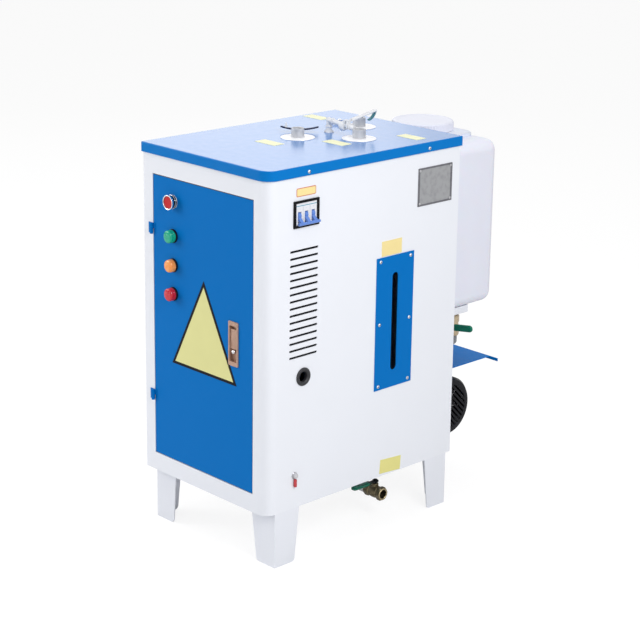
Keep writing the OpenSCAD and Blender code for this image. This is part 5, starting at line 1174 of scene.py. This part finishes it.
class BOILER_OT_tank_valve(bpy.types.Operator):
    """Makes the tank's valve, its lever and the feed hose"""
    bl_idname = "boiler.tank_valve"
    bl_label = "Tank valve"

    def execute(self, context):
        steps = context.scene.boiler_sizes.round_steps
        form = Form(at(TAP_X, TAP_Y, 0))
        form.turned([(6.5, 227.5), (7.9, 227.5), (7.9, 300), (6.5, 300)], steps)
        for flats, low, high, bore in ((28.5, 284.5, 294.5, 7.6), (23.5, 256, 271.5, 7.6), (23.5, 227.5, 240.5, 6)):
            form.hexagon(flats, low, high, 1, bore=bore)
        form.turned([(0, 236.5), (8.5, 236.8), (10.6, 241), (11.5, 246), (11.5, 252.5), (10.4, 256.2), (9, 259),
                     (0, 259)], steps)
        form.turned([(0, 4), (7, 4), (7, 18.4), (6.4, 19.4), (0, 19.4)], 32, to_front(0, 0, TAP_Z))
        for z in (275, 278.5, 282):
            form.ring([(7.5, z - 1), (8.1, z - 1), (8.7, z), (8.1, z + 1), (7.5, z + 1)], steps)
        form.finished("tank_valve_body", "cabinet", "brass_fitting", "tank_valve", bevel=0.25)
        rise = math.radians(9)
        lever = Form(looking((TAP_X, TAP_SPINDLE_Y, TAP_Z), (math.cos(rise), 0, math.sin(rise)), (0, -1, 0)))
        valve_lever(lever, 76)
        lever.finished("tank_lever_sleeve", "tank_valve_lever", "sleeve_green", "tank_valve_lever",
                       paints=("sleeve_green", "bright_steel", "brass_fitting", "sleeve_root_shade"), bevel=0.25)
        self.hose(steps)
        return {"FINISHED"}

    def hose(self, steps):
        """The hose from its elbow under the valve to the pump's inlet, with a clamp at each end."""
        def left_from(x):
            return looking((x, TAP_Y, HOSE_Z), (0, 1, 0), (-1, 0, 0))
        form = Form()
        turn = [(INLET_X + HOSE_BEND * (1 - math.sin(a)), TAP_Y, HOSE_Z - HOSE_BEND * (1 - math.cos(a)))
                for a in (math.pi / 24 * i for i in range(13))]
        form.swept([(96, TAP_Y, HOSE_Z), *turn, (INLET_X, TAP_Y, 113.5)], circle(HOSE_R, 28), up=(0, 1, 0))
        form.paint = 1
        form.turned([(5, 212), (9, 212), (9, 227), (8.6, 227.5), (5, 227.5)], steps, at(TAP_X, TAP_Y, 0))
        form.ball((TAP_X, TAP_Y, HOSE_Z), 9, 32)
        form.turned([(0, 0), (9, 0), (9, 14), (8.4, 17.5), (7.8, 18), (0, 18)], steps, left_from(TAP_X))
        form.paint = 2
        for place in (left_from(88), looking((INLET_X, TAP_Y, 121), (1, 0, 0), (0, 0, -1))):
            form.ring([(HOSE_R, -3), (7.6, -3), (7.6, 3), (HOSE_R, 3)], 40, place)
            form.block((-3.2, 7.2, -2.8), (3.2, 9.4, 2.8), place)
        form.finished("feed_tube", "cabinet", "hose_plastic", "feed_hose",
                      paints=("hose_plastic", "switch_grey", "bright_steel"), bevel=0.2)


class BOILER_OT_pump(bpy.types.Operator):
    """Makes the feed pump, its motor, cover and bracket"""
    bl_idname = "boiler.pump"
    bl_label = "Feed pump"

    def execute(self, context):
        edge = context.scene.boiler_sizes.edge
        eased("motor_body", "pump_motor", edge * 0.35)
        eased("motor_cowl", "fan_cowl", edge * 0.3)
        eased("fan_and_shaft", "pump_rotor", edge * 0.25)
        eased("pump_casing", "pump_head", edge * 0.8, segments=3)
        eased("pump_roof", "pump_cover", edge * 0.4)
        eased("pump_stand", "pump_bracket", edge * 0.8)
        eased("feed_line", "feed_pipe", edge * 0.3)
        form = Form()
        bolts_r, first = 49, 0.3
        for a in (math.pi / 3 * k + first for k in range(6)):
            form.frame = to_right(-75.5, MOTOR_Y + bolts_r * math.cos(a), MOTOR_Z + bolts_r * math.sin(a))
            form.hexagon(8, -0.5, 4.2, 0.5)
        for y in (-19, 19):
            for x in (-26, 24):
                form.frame = at(x, MOTOR_Y + y, 146.6)
                form.turned([(0, 0), (3, 0), (3, 1), (2.2, 1.9), (0, 2)], 20)
        form.finished("pump_bolts", "cabinet", "bright_steel")
        return {"FINISHED"}


class BOILER_OT_inside(bpy.types.Operator):
    """Makes the parts inside the cabinet: partition and electrical parts"""
    bl_idname = "boiler.inside"
    bl_label = "Inner parts"

    def execute(self, context):
        edge = context.scene.boiler_sizes.edge
        eased("partition_sheet", "partition_plate", edge * 0.3)
        eased("contactor_case", "contactor", edge * 0.6)
        eased("terminal_row", "terminal_block", edge * 0.5)
        eased("switch_case", "pressure_switch", edge * 0.6)
        return {"FINISHED"}


class BOILER_OT_finish_parts(bpy.types.Operator):
    """Gives the solid parts that still show their finishes"""
    bl_idname = "boiler.finish_parts"
    bl_label = "Finishes of the solid parts"

    def execute(self, context):
        for row in frame["record"]["subparts"]:
            dress(row["material_slot"], row["node"])
        return {"FINISHED"}


PIECES = (BOILER_OT_cabinet, BOILER_OT_lid, BOILER_OT_door, BOILER_OT_controls, BOILER_OT_latch,
          BOILER_OT_side_plates, BOILER_OT_breaker, BOILER_OT_shade_fills, BOILER_OT_side_fittings, BOILER_OT_outlets,
          BOILER_OT_wing_handles, BOILER_OT_relief, BOILER_OT_drain, BOILER_OT_tank, BOILER_OT_tank_valve,
          BOILER_OT_pump, BOILER_OT_inside, BOILER_OT_finish_parts)


class BOILER_PT_panel(bpy.types.Panel):
    """Lists the boiler's pieces, its sizes and its colours"""
    bl_idname = "BOILER_PT_panel"
    bl_label = "Steam boiler"
    bl_space_type = "VIEW_3D"
    bl_region_type = "UI"
    bl_category = "Boiler"

    def draw(self, context):
        for group in (context.scene.boiler_sizes, context.scene.boiler_colours):
            for name in group.__annotations__:
                self.layout.prop(group, name)
        for piece in (BOILER_OT_stage, *PIECES):
            self.layout.operator(piece.bl_idname)


CLASSES = (BoilerSizes, BoilerColours, BOILER_OT_stage, *PIECES, BOILER_PT_panel)


def register():
    for c in CLASSES:
        bpy.utils.register_class(c)
    bpy.types.Scene.boiler_sizes = PointerProperty(type=BoilerSizes)
    bpy.types.Scene.boiler_colours = PointerProperty(type=BoilerColours)


def unregister():
    del bpy.types.Scene.boiler_colours
    del bpy.types.Scene.boiler_sizes
    for c in reversed(CLASSES):
        bpy.utils.unregister_class(c)


def main():
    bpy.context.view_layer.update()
    register()
    make_finishes(bpy.context.scene.boiler_colours)
    bpy.ops.boiler.stage()
    for piece in PIECES:
        getattr(bpy.ops.boiler, piece.bl_idname.split(".")[1])()


if __name__ == "__main__":
    main()
